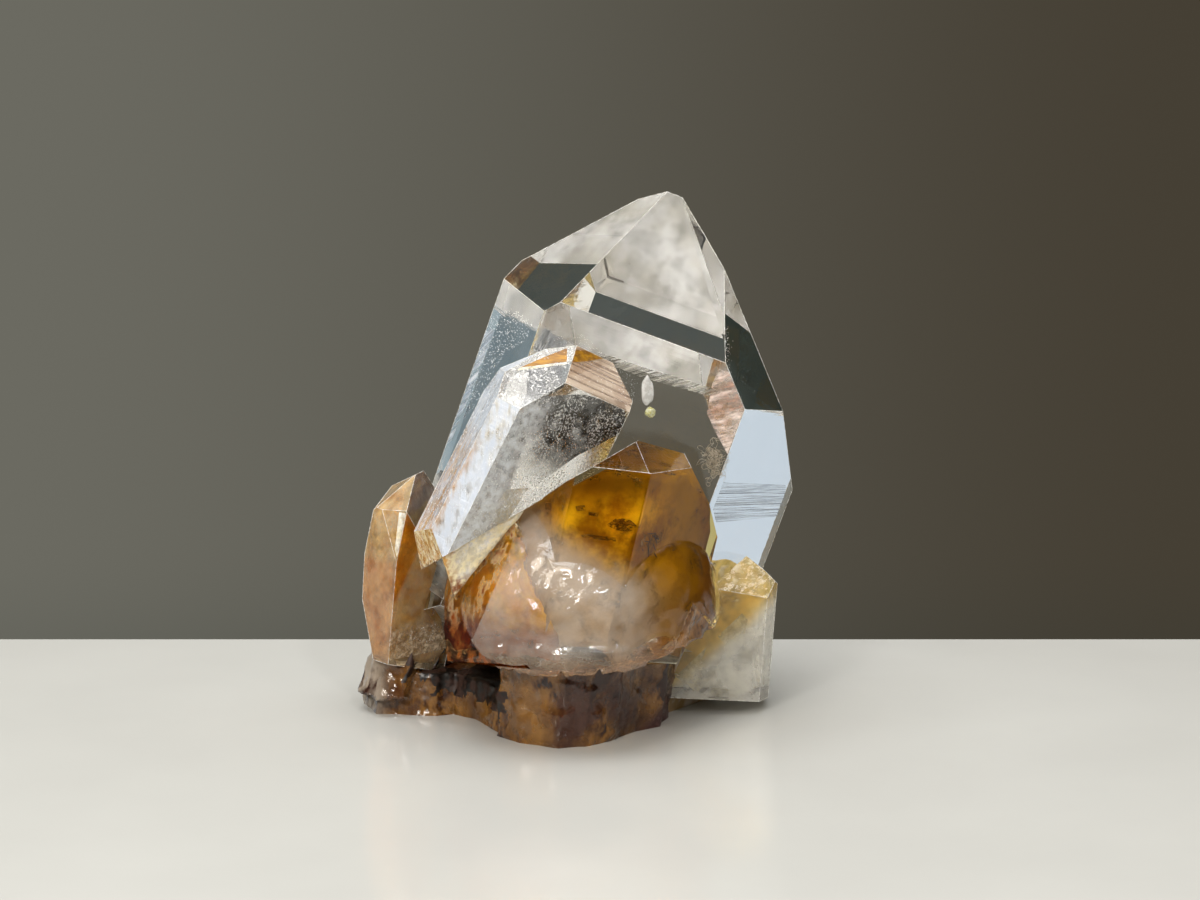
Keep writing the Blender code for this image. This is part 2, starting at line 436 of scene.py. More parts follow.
AMBER_WEDGE = CrystalFaces(
    Zone.WEDGE, (-6.0, -9.0, 13.0), 0.0, 0.0, 0.0, (), (),
    (
        (-27.3, 13.4, 3.3), (-97.5, 38.5, 3.3), (-90.0, 13.2, 5.25), (-85.3, -6.1, 6.7),
        (0.0, 0.0, 5.6), (83.5, 29.7, 2.2), (75.0, 10.0, 4.2), (180.0, 0.0, 7.0), (10.0, -86.0, 6.2),
    ),
)
FROSTED_HEEL = CrystalFaces(
    Zone.HEEL, (-4.3, -8.0, 21.7), 26.7, 6.0, 38.0, (2.1, 3.0, 5.0, 4.5, 6.4, 7.0), (),
    ((47.3, -12.4, 0.85), (-124.5, -43.7, 9.8), (-126.6, -32.0, 8.8), (0.0, 90.0, -1.0)),
)
BACK_POINT = CrystalFaces(
    Zone.BACK, (-7.5, 13.4, 6.0), -9.0, 12.0, 15.0,
    (4.0, 3.6, 3.2, 3.4, 3.8, 3.1), (7.6, 8.0, 7.0, 6.4, 7.4, 7.9),
)
CRYSTALS = (
    CLEAR_POINT, FROSTED_POINT, AMBER_POINT, TAN_POINT, SIDE_POINT, AMBER_WEDGE, FROSTED_HEEL, BACK_POINT,
)

# Faces with a finish of their own, by their number on the crystal: the clear tip, the frosted
# crystal's left side, tip and broken end, the tan crystal's two odd faces and the side crystal's top.
FACE_ZONES = {
    **{(Zone.CLEAR, face): Zone.TIP for face in range(6, 12)},
    **{(Zone.FROSTED, face): Zone.STREAKED for face in (3, 4, 5, 10)},
    (Zone.FROSTED, 6): Zone.RIBBED,
    **{(Zone.FROSTED, face): Zone.HEEL for face in (12, 13)},
    (Zone.TAN, 5): Zone.SMOKY,
    (Zone.TAN, 1): Zone.RUSTY,
    **{(Zone.SIDE, face): Zone.GOLDEN for face in range(6, 10)},
}
# Slot numbers of the broken surfaces, which carry relief, and of the grown faces, whose edges are crisp.
BROKEN = {zone.value for zone in (Zone.DOME, Zone.HEEL, Zone.FOOT, Zone.GAP)}
GROWN = {zone.value for zone in Zone} - BROKEN - {Zone.WEDGE.value, Zone.CUT.value}
DOME_CENTRE = Vector((-1.5, -5.8, 10.2))
DOME_RADII = Vector((11.0, 9.9, 9.8))


def dome_ratio(point: Vector) -> float:
    """How far out a layout point lies, where the dome's skin is at one."""
    local = point - DOME_CENTRE
    return math.sqrt(sum((local[i] / DOME_RADII[i]) ** 2 for i in range(3)))


# ---------------------------------------------------------------- finishes


def noise_mask(tree: Tree, where: Socket, size_mm: float, cover: float, soft: float,
               detail: float = 5.0, rough: float = 0.62) -> Socket:
    """Wire a mask of noise patches.

    Args:
        tree: the material's tree.
        where: the coordinates.
        size_mm: the patches' size.
        cover: the share of the surface that they cover.
        soft: the width of their edges, in noise values.
        detail: how many octaves of noise.
        rough: how strong the fine octaves are.

    Returns:
        A socket from nought to one.
    """
    cloud = add_node(tree, "ShaderNodeTexNoise",
                     {"Scale": 1.0 / (size_mm * MM), "Detail": detail, "Roughness": rough}, {"Vector": where})
    edge = NO_COVER - FULL_COVER * cover
    ends = {"From Min": edge - soft * 0.5, "From Max": edge + soft * 0.5}
    return add_node(tree, "ShaderNodeMapRange", ends, {"Value": cloud.outputs["Fac"]},
                    interpolation_type="SMOOTHSTEP").outputs["Result"]


def combine(tree: Tree, masks: Sequence[Socket], operation: str) -> Socket:
    """Fold any number of masks into one.

    Args:
        tree: the material's tree.
        masks: the masks, one at least.
        operation: what is done to each pair, as a Math node's operation.

    Returns:
        The mask that is left.
    """
    left = masks[0]
    for mask in masks[1:]:
        pair = {0: left, 1: mask}
        left = add_node(tree, "ShaderNodeMath", None, pair, operation=operation).outputs["Value"]
    return left


def paint(tree: Tree, base: str, coats: Iterable[tuple[Socket, str]]) -> Socket:
    """Lay coats of colour over a base, each where its mask is one.

    Args:
        tree: the material's tree.
        base: the sRGB code of what lies under them all.
        coats: each coat's mask and sRGB code, the lowest first.

    Returns:
        The colour that is seen.
    """
    values = {MIX_UNDER: linear(base)}
    links: dict[int, Socket] = {}
    for mask, over in coats:
        values[MIX_OVER] = linear(over)
        links[0] = mask
        mixed = add_node(tree, "ShaderNodeMix", values, links, data_type="RGBA")
        values = {}
        links = {MIX_UNDER: mixed.outputs[MIX_RESULT]}
    return links[MIX_UNDER]


@dataclass(frozen=True)
class Reach:
    """Where something sets in along a direction, between two distances in layout millimetres."""

    direction: Triple
    start: float
    end: float

    def mask(self, tree: Tree, where: Socket) -> Socket:
        """Wire the mask, which is nought before the start and one after the end.

        Args:
            tree: the material's tree.
            where: its Object coordinates.

        Returns:
            A socket from nought to one.
        """
        way = Vector(self.direction).normalized()
        moved = way.dot(SHIFT)
        along = add_node(tree, "ShaderNodeVectorMath", {1: way}, {0: where}, operation="DOT_PRODUCT")
        ends = {"From Min": (self.start + moved) * MM, "From Max": (self.end + moved) * MM}
        return add_node(tree, "ShaderNodeMapRange", ends, {"Value": along.outputs["Value"]},
                        interpolation_type="SMOOTHSTEP").outputs["Result"]


@dataclass(frozen=True)
class Ramp(Reach):
    """A colour that sets in along a direction."""

    colour: str


@dataclass(frozen=True)
class Quartz:
    """Grown or broken quartz, seen through, with growth lines square to its long axis.

    The tint is what the iron near its skin takes from the light, and patches, ramps and a
    band along its growth lines lay other colours over it.  Specks are the frosting that
    stops the light, and the veil is a cloud that stops a share of it within its reach.
    Haze is the spread of its roughness.  Lines and ripple are strengths from nought to
    one, and gloss is the colour of its reflections seen square on.
    """

    name: str
    tint: str = "#fbfaf6"
    patch: str = "#fbfaf6"
    patch_mm: float = 3.0
    patch_soft: float = 0.1
    cover: float = 0.5
    ramps: tuple[Ramp, ...] = ()
    speck: str = "#f4f3ef"
    speck_mm: float = 0.16
    specks: float = 0.0
    speck_soft: float = 0.06
    speck_area_mm: float = 4.0
    speck_area: float = 1.0
    roughness: float = 0.0
    haze: float = 0.0
    transmission: float = 1.0
    axis: Triple = (0.33, -0.045, 0.94)
    line_mm: float = 0.28
    lines: float = 0.0
    band: str = ""
    ripple_mm: float = 0.8
    ripple: float = 0.0
    stretch: Triple = (1.0, 1.0, 1.0)
    veil: str = ""
    veil_reach: tuple[Reach, ...] = ()
    veil_share: float = 0.5
    veil_mm: float = 4.0
    veil_cover: float = 0.6
    gloss: str = "#ffffff"

    def surface(self, tree: Tree, shader: Node, where: Socket) -> None:
        """Wire colour, frosting and roughness.

        Args:
            tree: the material's tree.
            shader: its shader.
            where: its Object coordinates.
        """
        pulled = add_node(tree, "ShaderNodeMapping", {"Scale": self.stretch}, {"Vector": where})
        drawn = pulled.outputs["Vector"]
        clouds = noise_mask(tree, drawn, self.patch_mm, self.cover, self.patch_soft)
        coats = [(clouds, self.patch)]
        coats += [(ramp.mask(tree, where), ramp.colour) for ramp in self.ramps]
        if self.band:
            coats.append((self.line_height(tree, where, low=0.5, high=0.56), self.band))
        stops = []
        if self.veil:
            milk = noise_mask(tree, drawn, self.veil_mm, self.veil_cover, soft=0.5)
            whole = combine(tree, [milk, *(reach.mask(tree, where) for reach in self.veil_reach)], "MULTIPLY")
            share = add_node(tree, "ShaderNodeMath", {1: self.veil_share}, {0: whole}, operation="MULTIPLY")
            stops.append(share.outputs["Value"])
            coats.append((stops[-1], self.veil))
        if self.specks > 0.0:
            fine = noise_mask(tree, drawn, self.speck_mm, self.specks, self.speck_soft, detail=3.0)
            area = noise_mask(tree, drawn, self.speck_area_mm, self.speck_area, soft=0.2)
            stops.append(combine(tree, [fine, area], "MULTIPLY"))
            coats.append((stops[-1], self.speck))
        if stops:
            through = add_node(tree, "ShaderNodeMapRange", {"To Min": self.transmission, "To Max": 0.0},
                               {"Value": combine(tree, stops, "MAXIMUM")})
            tree.links.new(through.outputs["Result"], shader.inputs["Transmission Weight"])
        tree.links.new(paint(tree, self.tint, coats), shader.inputs["Base Color"])
        grain = add_node(tree, "ShaderNodeMapRange",
                         {"To Min": self.roughness, "To Max": self.roughness + self.haze}, {"Value": clouds})
        tree.links.new(grain.outputs["Result"], shader.inputs["Roughness"])

    def line_height(self, tree: Tree, where: Socket, low: float, high: float) -> Socket:
        """Wire uneven lines square to the axis.

        Args:
            tree: the material's tree.
            where: its Object coordinates.
            low: the noise value that gives nought.
            high: the noise value that gives one.

        Returns:
            Their height, from nought to one.
        """
        along = add_node(tree, "ShaderNodeVectorMath", {1: Vector(self.axis).normalized()}, {0: where},
                         operation="DOT_PRODUCT")
        steps = add_node(tree, "ShaderNodeTexNoise",
                         {"Scale": 1.0 / (self.line_mm * MM), "Detail": 4.0, "Roughness": 0.75},
                         {"W": along.outputs["Value"]}, noise_dimensions="1D")
        return add_node(tree, "ShaderNodeMapRange", {"From Min": low, "From Max": high},
                        {"Value": steps.outputs["Fac"]}).outputs["Result"]

    def relief(self, tree: Tree, shader: Node, where: Socket) -> None:
        """Wire the fine relief: ripples, then growth lines that come and go.

        Args:
            tree: the material's tree.
            shader: its shader.
            where: its Object coordinates.
        """
        layers = []
        if self.ripple > 0.0:
            wave = add_node(tree, "ShaderNodeTexNoise", {"Scale": 1.0 / (self.ripple_mm * MM), "Detail": 3.0},
                            {"Vector": where})
            layers.append((wave.outputs["Fac"], self.ripple, self.ripple_mm * MM * RIPPLE_DEPTH))
        if self.lines > 0.0:
            spread = noise_mask(tree, where, size_mm=5.0, cover=0.5, soft=0.16)
            rows = self.line_height(tree, where, low=0.3, high=0.7)
            height = combine(tree, [rows, spread], "MULTIPLY")
            layers.append((height, self.lines, self.line_mm * MM * LINE_DEPTH))
        below: dict[str, Socket] = {}
        for height, strength, distance in layers:
            bump = add_node(tree, "ShaderNodeBump", {"Strength": strength, "Distance": distance},
                            {"Height": height, **below})
            below = {"Normal": bump.outputs["Normal"]}
        for name, normal in below.items():
            tree.links.new(normal, shader.inputs[name])

    def build(self) -> Material:
        """Make the material.

        Returns:
            The node-based quartz material.
        """
        material, tree, shader, where = start_material(self.name)
        shader.inputs["IOR"].default_value = QUARTZ_IOR
        shader.inputs["Transmission Weight"].default_value = self.transmission
        shader.inputs["Specular Tint"].default_value = linear(self.gloss)
        self.surface(tree, shader, where)
        self.relief(tree, shader, where)
        return material


@dataclass(frozen=True)
class Cloud:
    """Milk-white or iron-coloured specks that hang inside quartz as a broken cloud.

    Dark patches lie over the light colour, and ramps over both.  The cover is the share
    that isn't holes, and fades let the whole cloud set in.  Gleam is how much it mirrors.
    """

    name: str
    light: str
    dark: str
    patch_mm: float = 2.0
    cover: float = 0.6
    softness: float = 0.25
    roughness: float = 0.55
    stretch: Triple = (1.0, 1.0, 1.0)
    slant: Triple = (0.0, 0.0, 0.0)
    ramps: tuple[Ramp, ...] = ()
    fades: tuple[Reach, ...] = ()
    detail: float = 6.0
    gleam: float = 0.0

    def build(self) -> Material:
        """Make the material.

        Returns:
            The node-based cloud material.
        """
        material, tree, shader, where = start_material(self.name)
        shader.inputs["Roughness"].default_value = self.roughness
        shader.inputs["Specular IOR Level"].default_value = self.gleam
        drawn = where
        for change in ({"Rotation": [math.radians(a) for a in self.slant]}, {"Scale": self.stretch}):
            drawn = add_node(tree, "ShaderNodeMapping", change, {"Vector": drawn}).outputs["Vector"]
        coats = [(noise_mask(tree, drawn, self.patch_mm, cover=0.5, soft=0.3), self.dark)]
        coats += [(ramp.mask(tree, where), ramp.colour) for ramp in self.ramps]
        tree.links.new(paint(tree, self.light, coats), shader.inputs["Base Color"])
        if self.cover < 1.0:
            shown = noise_mask(tree, drawn, self.patch_mm * HOLE_SIZE, self.cover, self.softness, self.detail,
                               rough=0.65)
            reaches = [fade.mask(tree, where) for fade in self.fades]
            tree.links.new(combine(tree, [shown, *reaches], "MULTIPLY"), shader.inputs["Alpha"])
        return material


# The milk in the dome sets in under its panels and thins out to the right.
MILKY_BROWN = "#94806e"
MILKY_REACH = (Reach(DOME_TOP, 15.2, 11.6), Reach(RIGHT, 5.0, 1.0))
# The tan crystal is cloudy all through, so this sets in below the floor.
TAN_VEILED = Reach(UP, -2.0, -1.0)
# The panels are clearer below and deeper in colour to the right.
PANEL_RAMPS = (
    Ramp(DOME_TOP, 15.2, 12.4, "#f6f0e6"), Ramp(RIGHT, 3.0, 6.0, "#f8d890"), Ramp(RIGHT, 7.2, 8.6, "#c49430"),
)
FINISHES = {
    # Water-clear grown face: hard gleam, faint growth lines, a brown stain only at its root.
    Zone.CLEAR: Quartz(
        "clear_quartz_face", lines=0.03, line_mm=0.8,
        veil="#8a7048", veil_reach=(Reach(DOWN, -7.5, -3.5),), veil_share=1.0, veil_cover=1.0, veil_mm=2.0,
    ),
    # Water-clear tip face: so smooth that the room shows in it undimmed.
    Zone.TIP: Quartz("clear_quartz_tip", haze=0.01),
    # Finely pitted face: glitters in fine specks over the painted shade of the dark sheets beneath it; its
    # left part is whitened by a veil that is partly real milkiness and partly painted bluish sky light.
    Zone.FROSTED: Quartz(
        "frosted_quartz", tint="#f2f0ea", patch="#fdfcfa", roughness=0.02, haze=0.1,
        specks=0.3, speck="#c4c4c0", speck_soft=0.12, speck_area=0.6, speck_area_mm=2.0,
        ripple=0.3, ripple_mm=0.25, axis=FROSTED_AXIS, lines=0.15,
        # Partly real milkiness, partly painted bluish sky light falling on the crystal's left side.
        veil="#c4ccd4", veil_reach=(Reach(FROSTED_LEFT, 14.8, 16.6), Reach(DOWN, -28.5, -27.0)),
        veil_mm=0.7, veil_share=0.8,
    ),
    # Long frosted streaks, painted bluish white for the sky light that falls on this left-facing side, with
    # an amber rim along its lower left edge.
    Zone.STREAKED: Quartz(
        "streaked_frosted_quartz", tint="#f4f6f8", patch="#e6ecf4", roughness=0.05, haze=0.25,
        specks=0.72, speck="#acb4c0", speck_mm=0.45, speck_soft=0.5, speck_area=0.95, speck_area_mm=3.0,
        ripple=0.25, ripple_mm=0.4, stretch=(1.0, 1.0, 0.3), axis=FROSTED_AXIS, lines=0.15,
        ramps=(Ramp(FROSTED_LEFT, 18.9, 19.8, "#f8b838"), Ramp(UP, 23.0, 26.0, "#f4f6f8")),
        veil="#c8841c", veil_reach=(Reach(FROSTED_LEFT, 18.9, 19.7), Reach(UP, 26.0, 22.5)),
        veil_share=0.9, veil_mm=1.5,
    ),
    # Tip face ruled with brown growth lines, pinkish where light comes through.
    Zone.RIBBED: Quartz(
        "ribbed_quartz_tip", tint="#ecd4bc", patch="#d8bca4", transmission=0.6,
        lines=0.3, line_mm=0.4, band="#a08470", axis=FROSTED_AXIS, ripple=0.1,
    ),
    # Grey-violet face that darkens what lies behind it.
    Zone.SMOKY: Quartz("smoky_quartz_face", tint="#5a525a", patch="#6e6468", transmission=0.8, haze=0.05),
    # Painted shade: the recess under the break is coloured nearly black to stand for its shade, dull, with a
    # few wet gleams.
    Zone.GAP: Quartz(
        "painted_shade_gap", tint="#0c0502", patch="#2c1406", patch_mm=1.0, roughness=0.35, haze=0.3,
        transmission=0.0, ripple=0.8, ripple_mm=0.5,
    ),
    # Honey-coloured glass over a clouded heart, milky at its foot, with a warm gleam.
    Zone.AMBER: Quartz(
        "amber_iron_quartz", tint="#fbeab4", patch="#f4d07c", patch_mm=4.0, patch_soft=0.3, haze=0.015,
        ripple=0.1, ramps=PANEL_RAMPS, gloss="#bc7b26",
        veil=MILKY_BROWN, veil_reach=MILKY_REACH, veil_share=0.3,
    ),
    # Tea-coloured glass, browner below.
    Zone.TAN: Quartz(
        "tan_iron_quartz", tint="#fbeccc", patch="#f4d8a4", patch_mm=3.0, patch_soft=0.3, haze=0.06,
        ripple=0.15, ramps=(Ramp(UP, 13.4, 12.6, "#f0c090"),),
        veil="#c4a474", veil_reach=(TAN_VEILED,), veil_share=0.42, veil_mm=1.6,
    ),
    # The same glass with a rusty band down its left edge.
    Zone.RUSTY: Quartz(
        "rusty_iron_quartz", tint="#f4e2c0", patch="#f0d8a8", patch_mm=3.0, haze=0.06,
        ripple=0.15, ramps=(Ramp(RUSTY_LEFT, 18.95, 19.3, "#e89820"),),
        veil="#a88450", veil_reach=(TAN_VEILED,), veil_share=0.36, veil_mm=1.6,
    ),
    # Glassy and nearly colourless, milk-white low on the right and golden high on the left.
    Zone.SIDE: Quartz(
        "pale_side_quartz", tint="#fdfbf4", patch="#f8f4e6", patch_mm=4.0, patch_soft=0.3, haze=0.05,
        ripple=0.15, ramps=(Ramp(GOLD_SIDE, -3.0, -1.2, "#f8e2a0"),),
        veil="#c6c4ba", veil_reach=(Reach(PALE_SIDE, 0.6, 3.2),), veil_mm=2.0, veil_share=0.5,
    ),
    # Golden glass with a rippled, sparkling top.
    Zone.GOLDEN: Quartz(
        "golden_side_quartz", tint="#fbeab0", patch="#f4da84", patch_mm=2.0, patch_soft=0.3, haze=0.05,
        ripple=0.4, veil="#b89c50", veil_reach=(Reach(UP, 6.0, 9.0),), veil_share=0.4, veil_mm=1.5,
    ),
    # Glowing orange glass above, cracked and liver-brown below.
    Zone.WEDGE: Quartz(
        "orange_iron_quartz", tint="#fdeaba", patch="#fbd488", patch_mm=2.0, patch_soft=0.3,
        roughness=0.02, haze=0.08, ripple=0.45, ripple_mm=0.6, ramps=(Ramp(UP, 11.6, 9.0, "#b0682c"),),
        specks=0.34, speck="#6c3208", speck_mm=0.9, speck_soft=0.2, speck_area_mm=3.0, speck_area=0.7,
        stretch=(1.0, 1.0, 0.45),
    ),
    # Crumbled break: cream and glittering, amber along the left, brown at its lowest corner.
    Zone.HEEL: Quartz(
        "broken_frosted_quartz", tint="#fdf4d8", patch="#ffffff", patch_mm=1.0, roughness=0.06, haze=0.2,
        ripple=0.8, ripple_mm=0.5, transmission=0.45,
        specks=0.5, speck="#ece0b8", speck_mm=0.5, speck_soft=0.3,
        ramps=(Ramp(LEFT, 10.6, 12.0, "#e8a83c"), Ramp(DOWN, -14.4, -13.4, "#a05c2c")),
    ),
    # Smoky tea-coloured crystal with plain growth lines.
    Zone.BACK: Quartz(
        "smoky_back_quartz", tint="#f6f0e4", patch="#ead8b4", haze=0.05, lines=0.5,
        veil="#8a7048", veil_reach=(Reach(DOWN, -8.0, -2.0),), veil_share=0.9, veil_cover=0.9, veil_mm=2.0,
    ),
    # Shell-like break: wet gleam over soft waves, amber above and milky below.
    Zone.DOME: Quartz(
        "shell_broken_quartz", tint="#fbeab4", patch="#f4d07c", patch_mm=4.0, patch_soft=0.3,
        roughness=0.02, haze=0.04, ripple=0.8, ripple_mm=0.7,
        ramps=(*PANEL_RAMPS, Ramp(DOWN, -9.0, -7.6, "#e8c4a0")),
        veil=MILKY_BROWN, veil_reach=MILKY_REACH, veil_share=0.3,
    ),
    # Iron-stained root: rust, honey and near-black patches under a wet gleam.
    Zone.FOOT: Quartz(
        "iron_stained_foot", tint="#c48c44", patch="#52260a", patch_mm=4.0, patch_soft=0.3,
        roughness=0.03, haze=0.1, transmission=0.6, ripple=1.0, ripple_mm=0.6,
        specks=0.5, speck="#2c1208", speck_mm=1.7, speck_soft=0.2, speck_area_mm=5.0, speck_area=0.6,
        stretch=(1.0, 1.0, 0.6),
        ramps=(Ramp(LEFT, 16.8, 18.6, "#d4c4b0"), Ramp(LOWER_RIGHT, 1.6, 2.8, "#6c4844")),
    ),
    # Sawn underside: dull and matt.
    Zone.CUT: Quartz(
        "flat_cut_foot", tint="#c8b48c", patch="#8a5a24", patch_mm=3.0, roughness=0.5, transmission=0.5,
    ),
}
# Milk-white sheet that hangs across the clear root and hides what lies under it.
MILK = Cloud("milky_veil", "#ffffff", "#dcd9d0", patch_mm=4.0, cover=0.76, softness=0.6, detail=2.0)
# Honey-brown cloud that gives the amber crystal its depth of colour.
AMBER_STAIN = Cloud(
    "amber_iron_cloud", "#f0bc20", "#94620a", patch_mm=3.0, cover=0.97, softness=0.4, detail=4.0,
    ramps=(Ramp((-0.1, 0.0, 1.0), 18.5, 21.5, "#74500c"), Ramp(DOME_TOP, 14.8, 12.0, "#bca07c"),
           Ramp(RIGHT, 3.0, 6.5, "#a8840c")),
)
# Orange cloud that glows in the wedge and dies away to brown below.
ORANGE_STAIN = Cloud(
    "orange_iron_cloud", "#ffc838", "#e09820", cover=0.97, softness=0.4,
    ramps=(Ramp(UP, 12.2, 9.0, "#84481a"),),
)
# Straw-coloured haze in the tan crystal.
TAN_STAIN = Cloud("tan_iron_cloud", "#f4d488", "#c48c30", patch_mm=2.5, cover=0.85, softness=0.6)
# White haze in the side crystal, straw-coloured high on the left.
PALE_STAIN = Cloud(
    "pale_iron_cloud", "#fdfcf8", "#e0ddd4", patch_mm=3.0, cover=0.9, softness=0.6, detail=2.0,
    ramps=(Ramp(GOLD_SIDE, -3.0, -1.4, "#e4c878"),),
)
# Painted shade: dark sheets in the heart and tip of the frosted crystal that stand for the dim room seen
# through it, and make its specks stand out.
SEEN_THROUGH_SHADE = Cloud(
    "painted_shade_cloud", "#302f2a", "#4a4840", patch_mm=3.2, cover=0.8, softness=0.5,
    fades=(Reach((0.74, 0.0, 0.67), 9.5, 14.5),),
)
# Iron film in a healed crack, which shines like old gold.
GOLD_CRACK = Cloud(
    "golden_iron_crack", "#a87808", "#6c4404", patch_mm=0.5, cover=1.0, stretch=(0.3, 1.0, 1.6), gleam=0.5,
)
# Rust-brown fleck with frayed edges.
RUST_PATCH = Cloud(
    "brown_iron_patch", "#a07828", "#5a3408", patch_mm=0.6, cover=0.5, softness=0.2, stretch=(0.5, 1.0, 1.2),
)
# Broken light and dark hairlines along the growth steps of the front face.
GROWTH = Cloud(
    "growth_line_film", "#e8e4dc", "#55524a", patch_mm=1.2, cover=0.45, softness=0.2,
    stretch=(0.08, 0.08, 7.0), slant=(0.0, 17.0, 0.0),
)
# Soft slate-blue hairlines across the right face.
PALE_GROWTH = Cloud(
    "pale_growth_line_film", "#ccd8e8", "#74808e", patch_mm=1.4, cover=0.28, softness=0.35,
    stretch=(0.1, 0.1, 10.0), slant=(0.0, -14.0, 0.0),
)
# Slanting strokes across the left edge, drawn bright bluish as a painted reflection of the sky.
LEFT_STRIPE_SHEEN = Cloud(
    "left_face_stripe_sheen", "#f0f6ff", "#a8b8c8", patch_mm=1.4, cover=0.55, softness=0.2,
    stretch=(0.12, 0.12, 4.0), slant=(0.0, 48.0, 0.0),
)
# Thin rosy frost, drawn out along the growth lines.
ROSY_VEIL = Cloud(
    "rosy_veil", "#ecdcd4", "#b49484", patch_mm=1.4, cover=0.4, softness=0.5,
    stretch=(0.6, 0.6, 1.8), slant=(0.0, 17.0, 0.0),
)
# Thin cream frost that lets half the glass show.
FROST_VEIL = Cloud("frost_veil", "#f4f2ec", "#d8cca8", cover=0.55, softness=0.5)
# Fine white-and-brown crumble at the lower end of the tan crystal.
CRUMBLE = Cloud(
    "crumbled_quartz_film", "#dccab0", "#8c6c48", patch_mm=0.6, cover=0.5, softness=0.5,
    fades=(Reach(DOWN, -8.4, -6.6),),
)
# Single flakes that flash white.
SPARKLE = Cloud("quartz_sparkle", "#ffffff", "#e8eef4", patch_mm=0.5, cover=1.0, roughness=0.15, gleam=0.5)
# Single flakes that flash yellow.
GOLD_SPARKLE = Cloud(
    "golden_quartz_sparkle", "#fff0b8", "#f0b828", patch_mm=0.5, cover=1.0, roughness=0.15, gleam=0.5,
)
# Straw-coloured hairs, dull.
FIBRE = Cloud("pale_mineral_fibre", "#e8dcc8", "#a89880", patch_mm=0.4, cover=1.0)
# Near-black needles with a soft gleam.
NEEDLE = Cloud(
    "black_mineral_needle", "#1c1206", "#3c2408", patch_mm=0.3, cover=1.0, roughness=0.3, gleam=0.5,
)
# Chipped white line along a worn edge, broken by clear stretches: partly real chipping, partly a painted
# highlight along the edge.
WORN_AND_HIGHLIGHT = Cloud("worn_edge_and_highlight", "#ffffff", "#dcd8cc", patch_mm=0.6, cover=0.62, softness=0.3, roughness=0.3)
# Small grain of yellow-green glass.
GRAIN = Quartz(
    "yellow_green_grain", tint="#f0ec9c", patch="#fcfcd8", patch_mm=0.3, roughness=0.05, ripple=0.5,
    ripple_mm=0.2, transmission=0.7,
)
# Small drop of milk-white glass.
DROP = Quartz(
    "milky_quartz_drop", tint="#e8e8e4", patch="#ffffff", patch_mm=0.4, roughness=0.2, ripple=0.4,
    ripple_mm=0.2, transmission=0.6,
)


# ---------------------------------------------------------------- repeats made by nodes


def start_growth(name: str, inputs: dict[str, str]) -> tuple[Tree, Node]:
    """Start a geometry tree with named inputs, a finish among them.

    Args:
        name: the tree's name.
        inputs: the name and socket type of each input besides the geometry and the finish.

    Returns:
        The tree and its input node.
    """
    tree = bpy.data.node_groups.new(name, "GeometryNodeTree")
    inside = {"Geometry": "NodeSocketGeometry", **inputs, "Finish": "NodeSocketMaterial"}
    for label, kind in inside.items():
        tree.interface.new_socket(name=label, in_out="INPUT", socket_type=kind)
    tree.interface.new_socket(name="Geometry", in_out="OUTPUT", socket_type="NodeSocketGeometry")
    return tree, add_node(tree, "NodeGroupInput")


def end_growth(tree: Tree, start: Node, shape: Socket) -> Tree:
    """End a geometry tree: its instances made real, then given their finish.

    Args:
        tree: the geometry tree.
        start: its input node.
        shape: the geometry so far.

    Returns:
        The same tree.
    """
    real = add_node(tree, "GeometryNodeRealizeInstances", None, {"Geometry": shape})
    dress = add_node(tree, "GeometryNodeSetMaterial", None,
                     {"Geometry": real.outputs["Geometry"], "Material": start.outputs["Finish"]})
    add_node(tree, "NodeGroupOutput", None, {"Geometry": dress.outputs["Geometry"]})
    return tree


def run_tree(tree: Tree, guide: Piece, name: str, values: dict[str, object]) -> Piece:
    """Run a geometry tree on a guide and keep only its mesh.

    Args:
        tree: the geometry tree.
        guide: the object it starts from, which is removed.
        name: the new piece's name.
        values: the tree's inputs by name.

    Returns:
        The finished piece.
    """
    modifier = guide.modifiers.new("grow", "NODES")
    modifier.node_group = tree
    for item in tree.interface.items_tree:
        if item.in_out == "INPUT" and item.name in values:
            modifier[item.identifier] = values[item.name]
    seen = guide.evaluated_get(bpy.context.evaluated_depsgraph_get())
    mesh = bpy.data.meshes.new_from_object(seen)
    guide.modifiers.remove(modifier)
    bpy.data.objects.remove(guide)
    mesh.name = name
    return link_object(name, mesh)


@dataclass(frozen=True)
class WornEdgeHighlights:
    """The fine rounded, chipped line where two grown faces meet, drawn white as wear and as a painted edge
    highlight.
    """

    radius_mm: float
    sides: int = 5

    def tree(self) -> Tree:
        """Sweep a small ring along each edge.

        Returns:
            The geometry tree.
        """
        tree, start = start_growth("worn_edge_highlights", {"Radius": "NodeSocketFloat"})
        lines = add_node(tree, "GeometryNodeMeshToCurve", None, {"Mesh": start.outputs["Geometry"]})
        ring = add_node(tree, "GeometryNodeCurvePrimitiveCircle", {"Resolution": self.sides},
                        {"Radius": start.outputs["Radius"]})
        tube = add_node(tree, "GeometryNodeCurveToMesh", {"Fill Caps": True},
                        {"Curve": lines.outputs["Curve"], "Profile Curve": ring.outputs["Curve"]})
        return end_growth(tree, start, tube.outputs["Mesh"])

    def build(self, guide: Piece) -> Piece:
        """Make the white edge lines, partly wear and partly painted highlight.

        Args:
            guide: a mesh of bare edges, which is removed.

        Returns:
            The piece.
        """
        values = {"Radius": self.radius_mm * MM, "Finish": WORN_AND_HIGHLIGHT.build()}
        return run_tree(self.tree(), guide, "worn_edge_highlights", values)


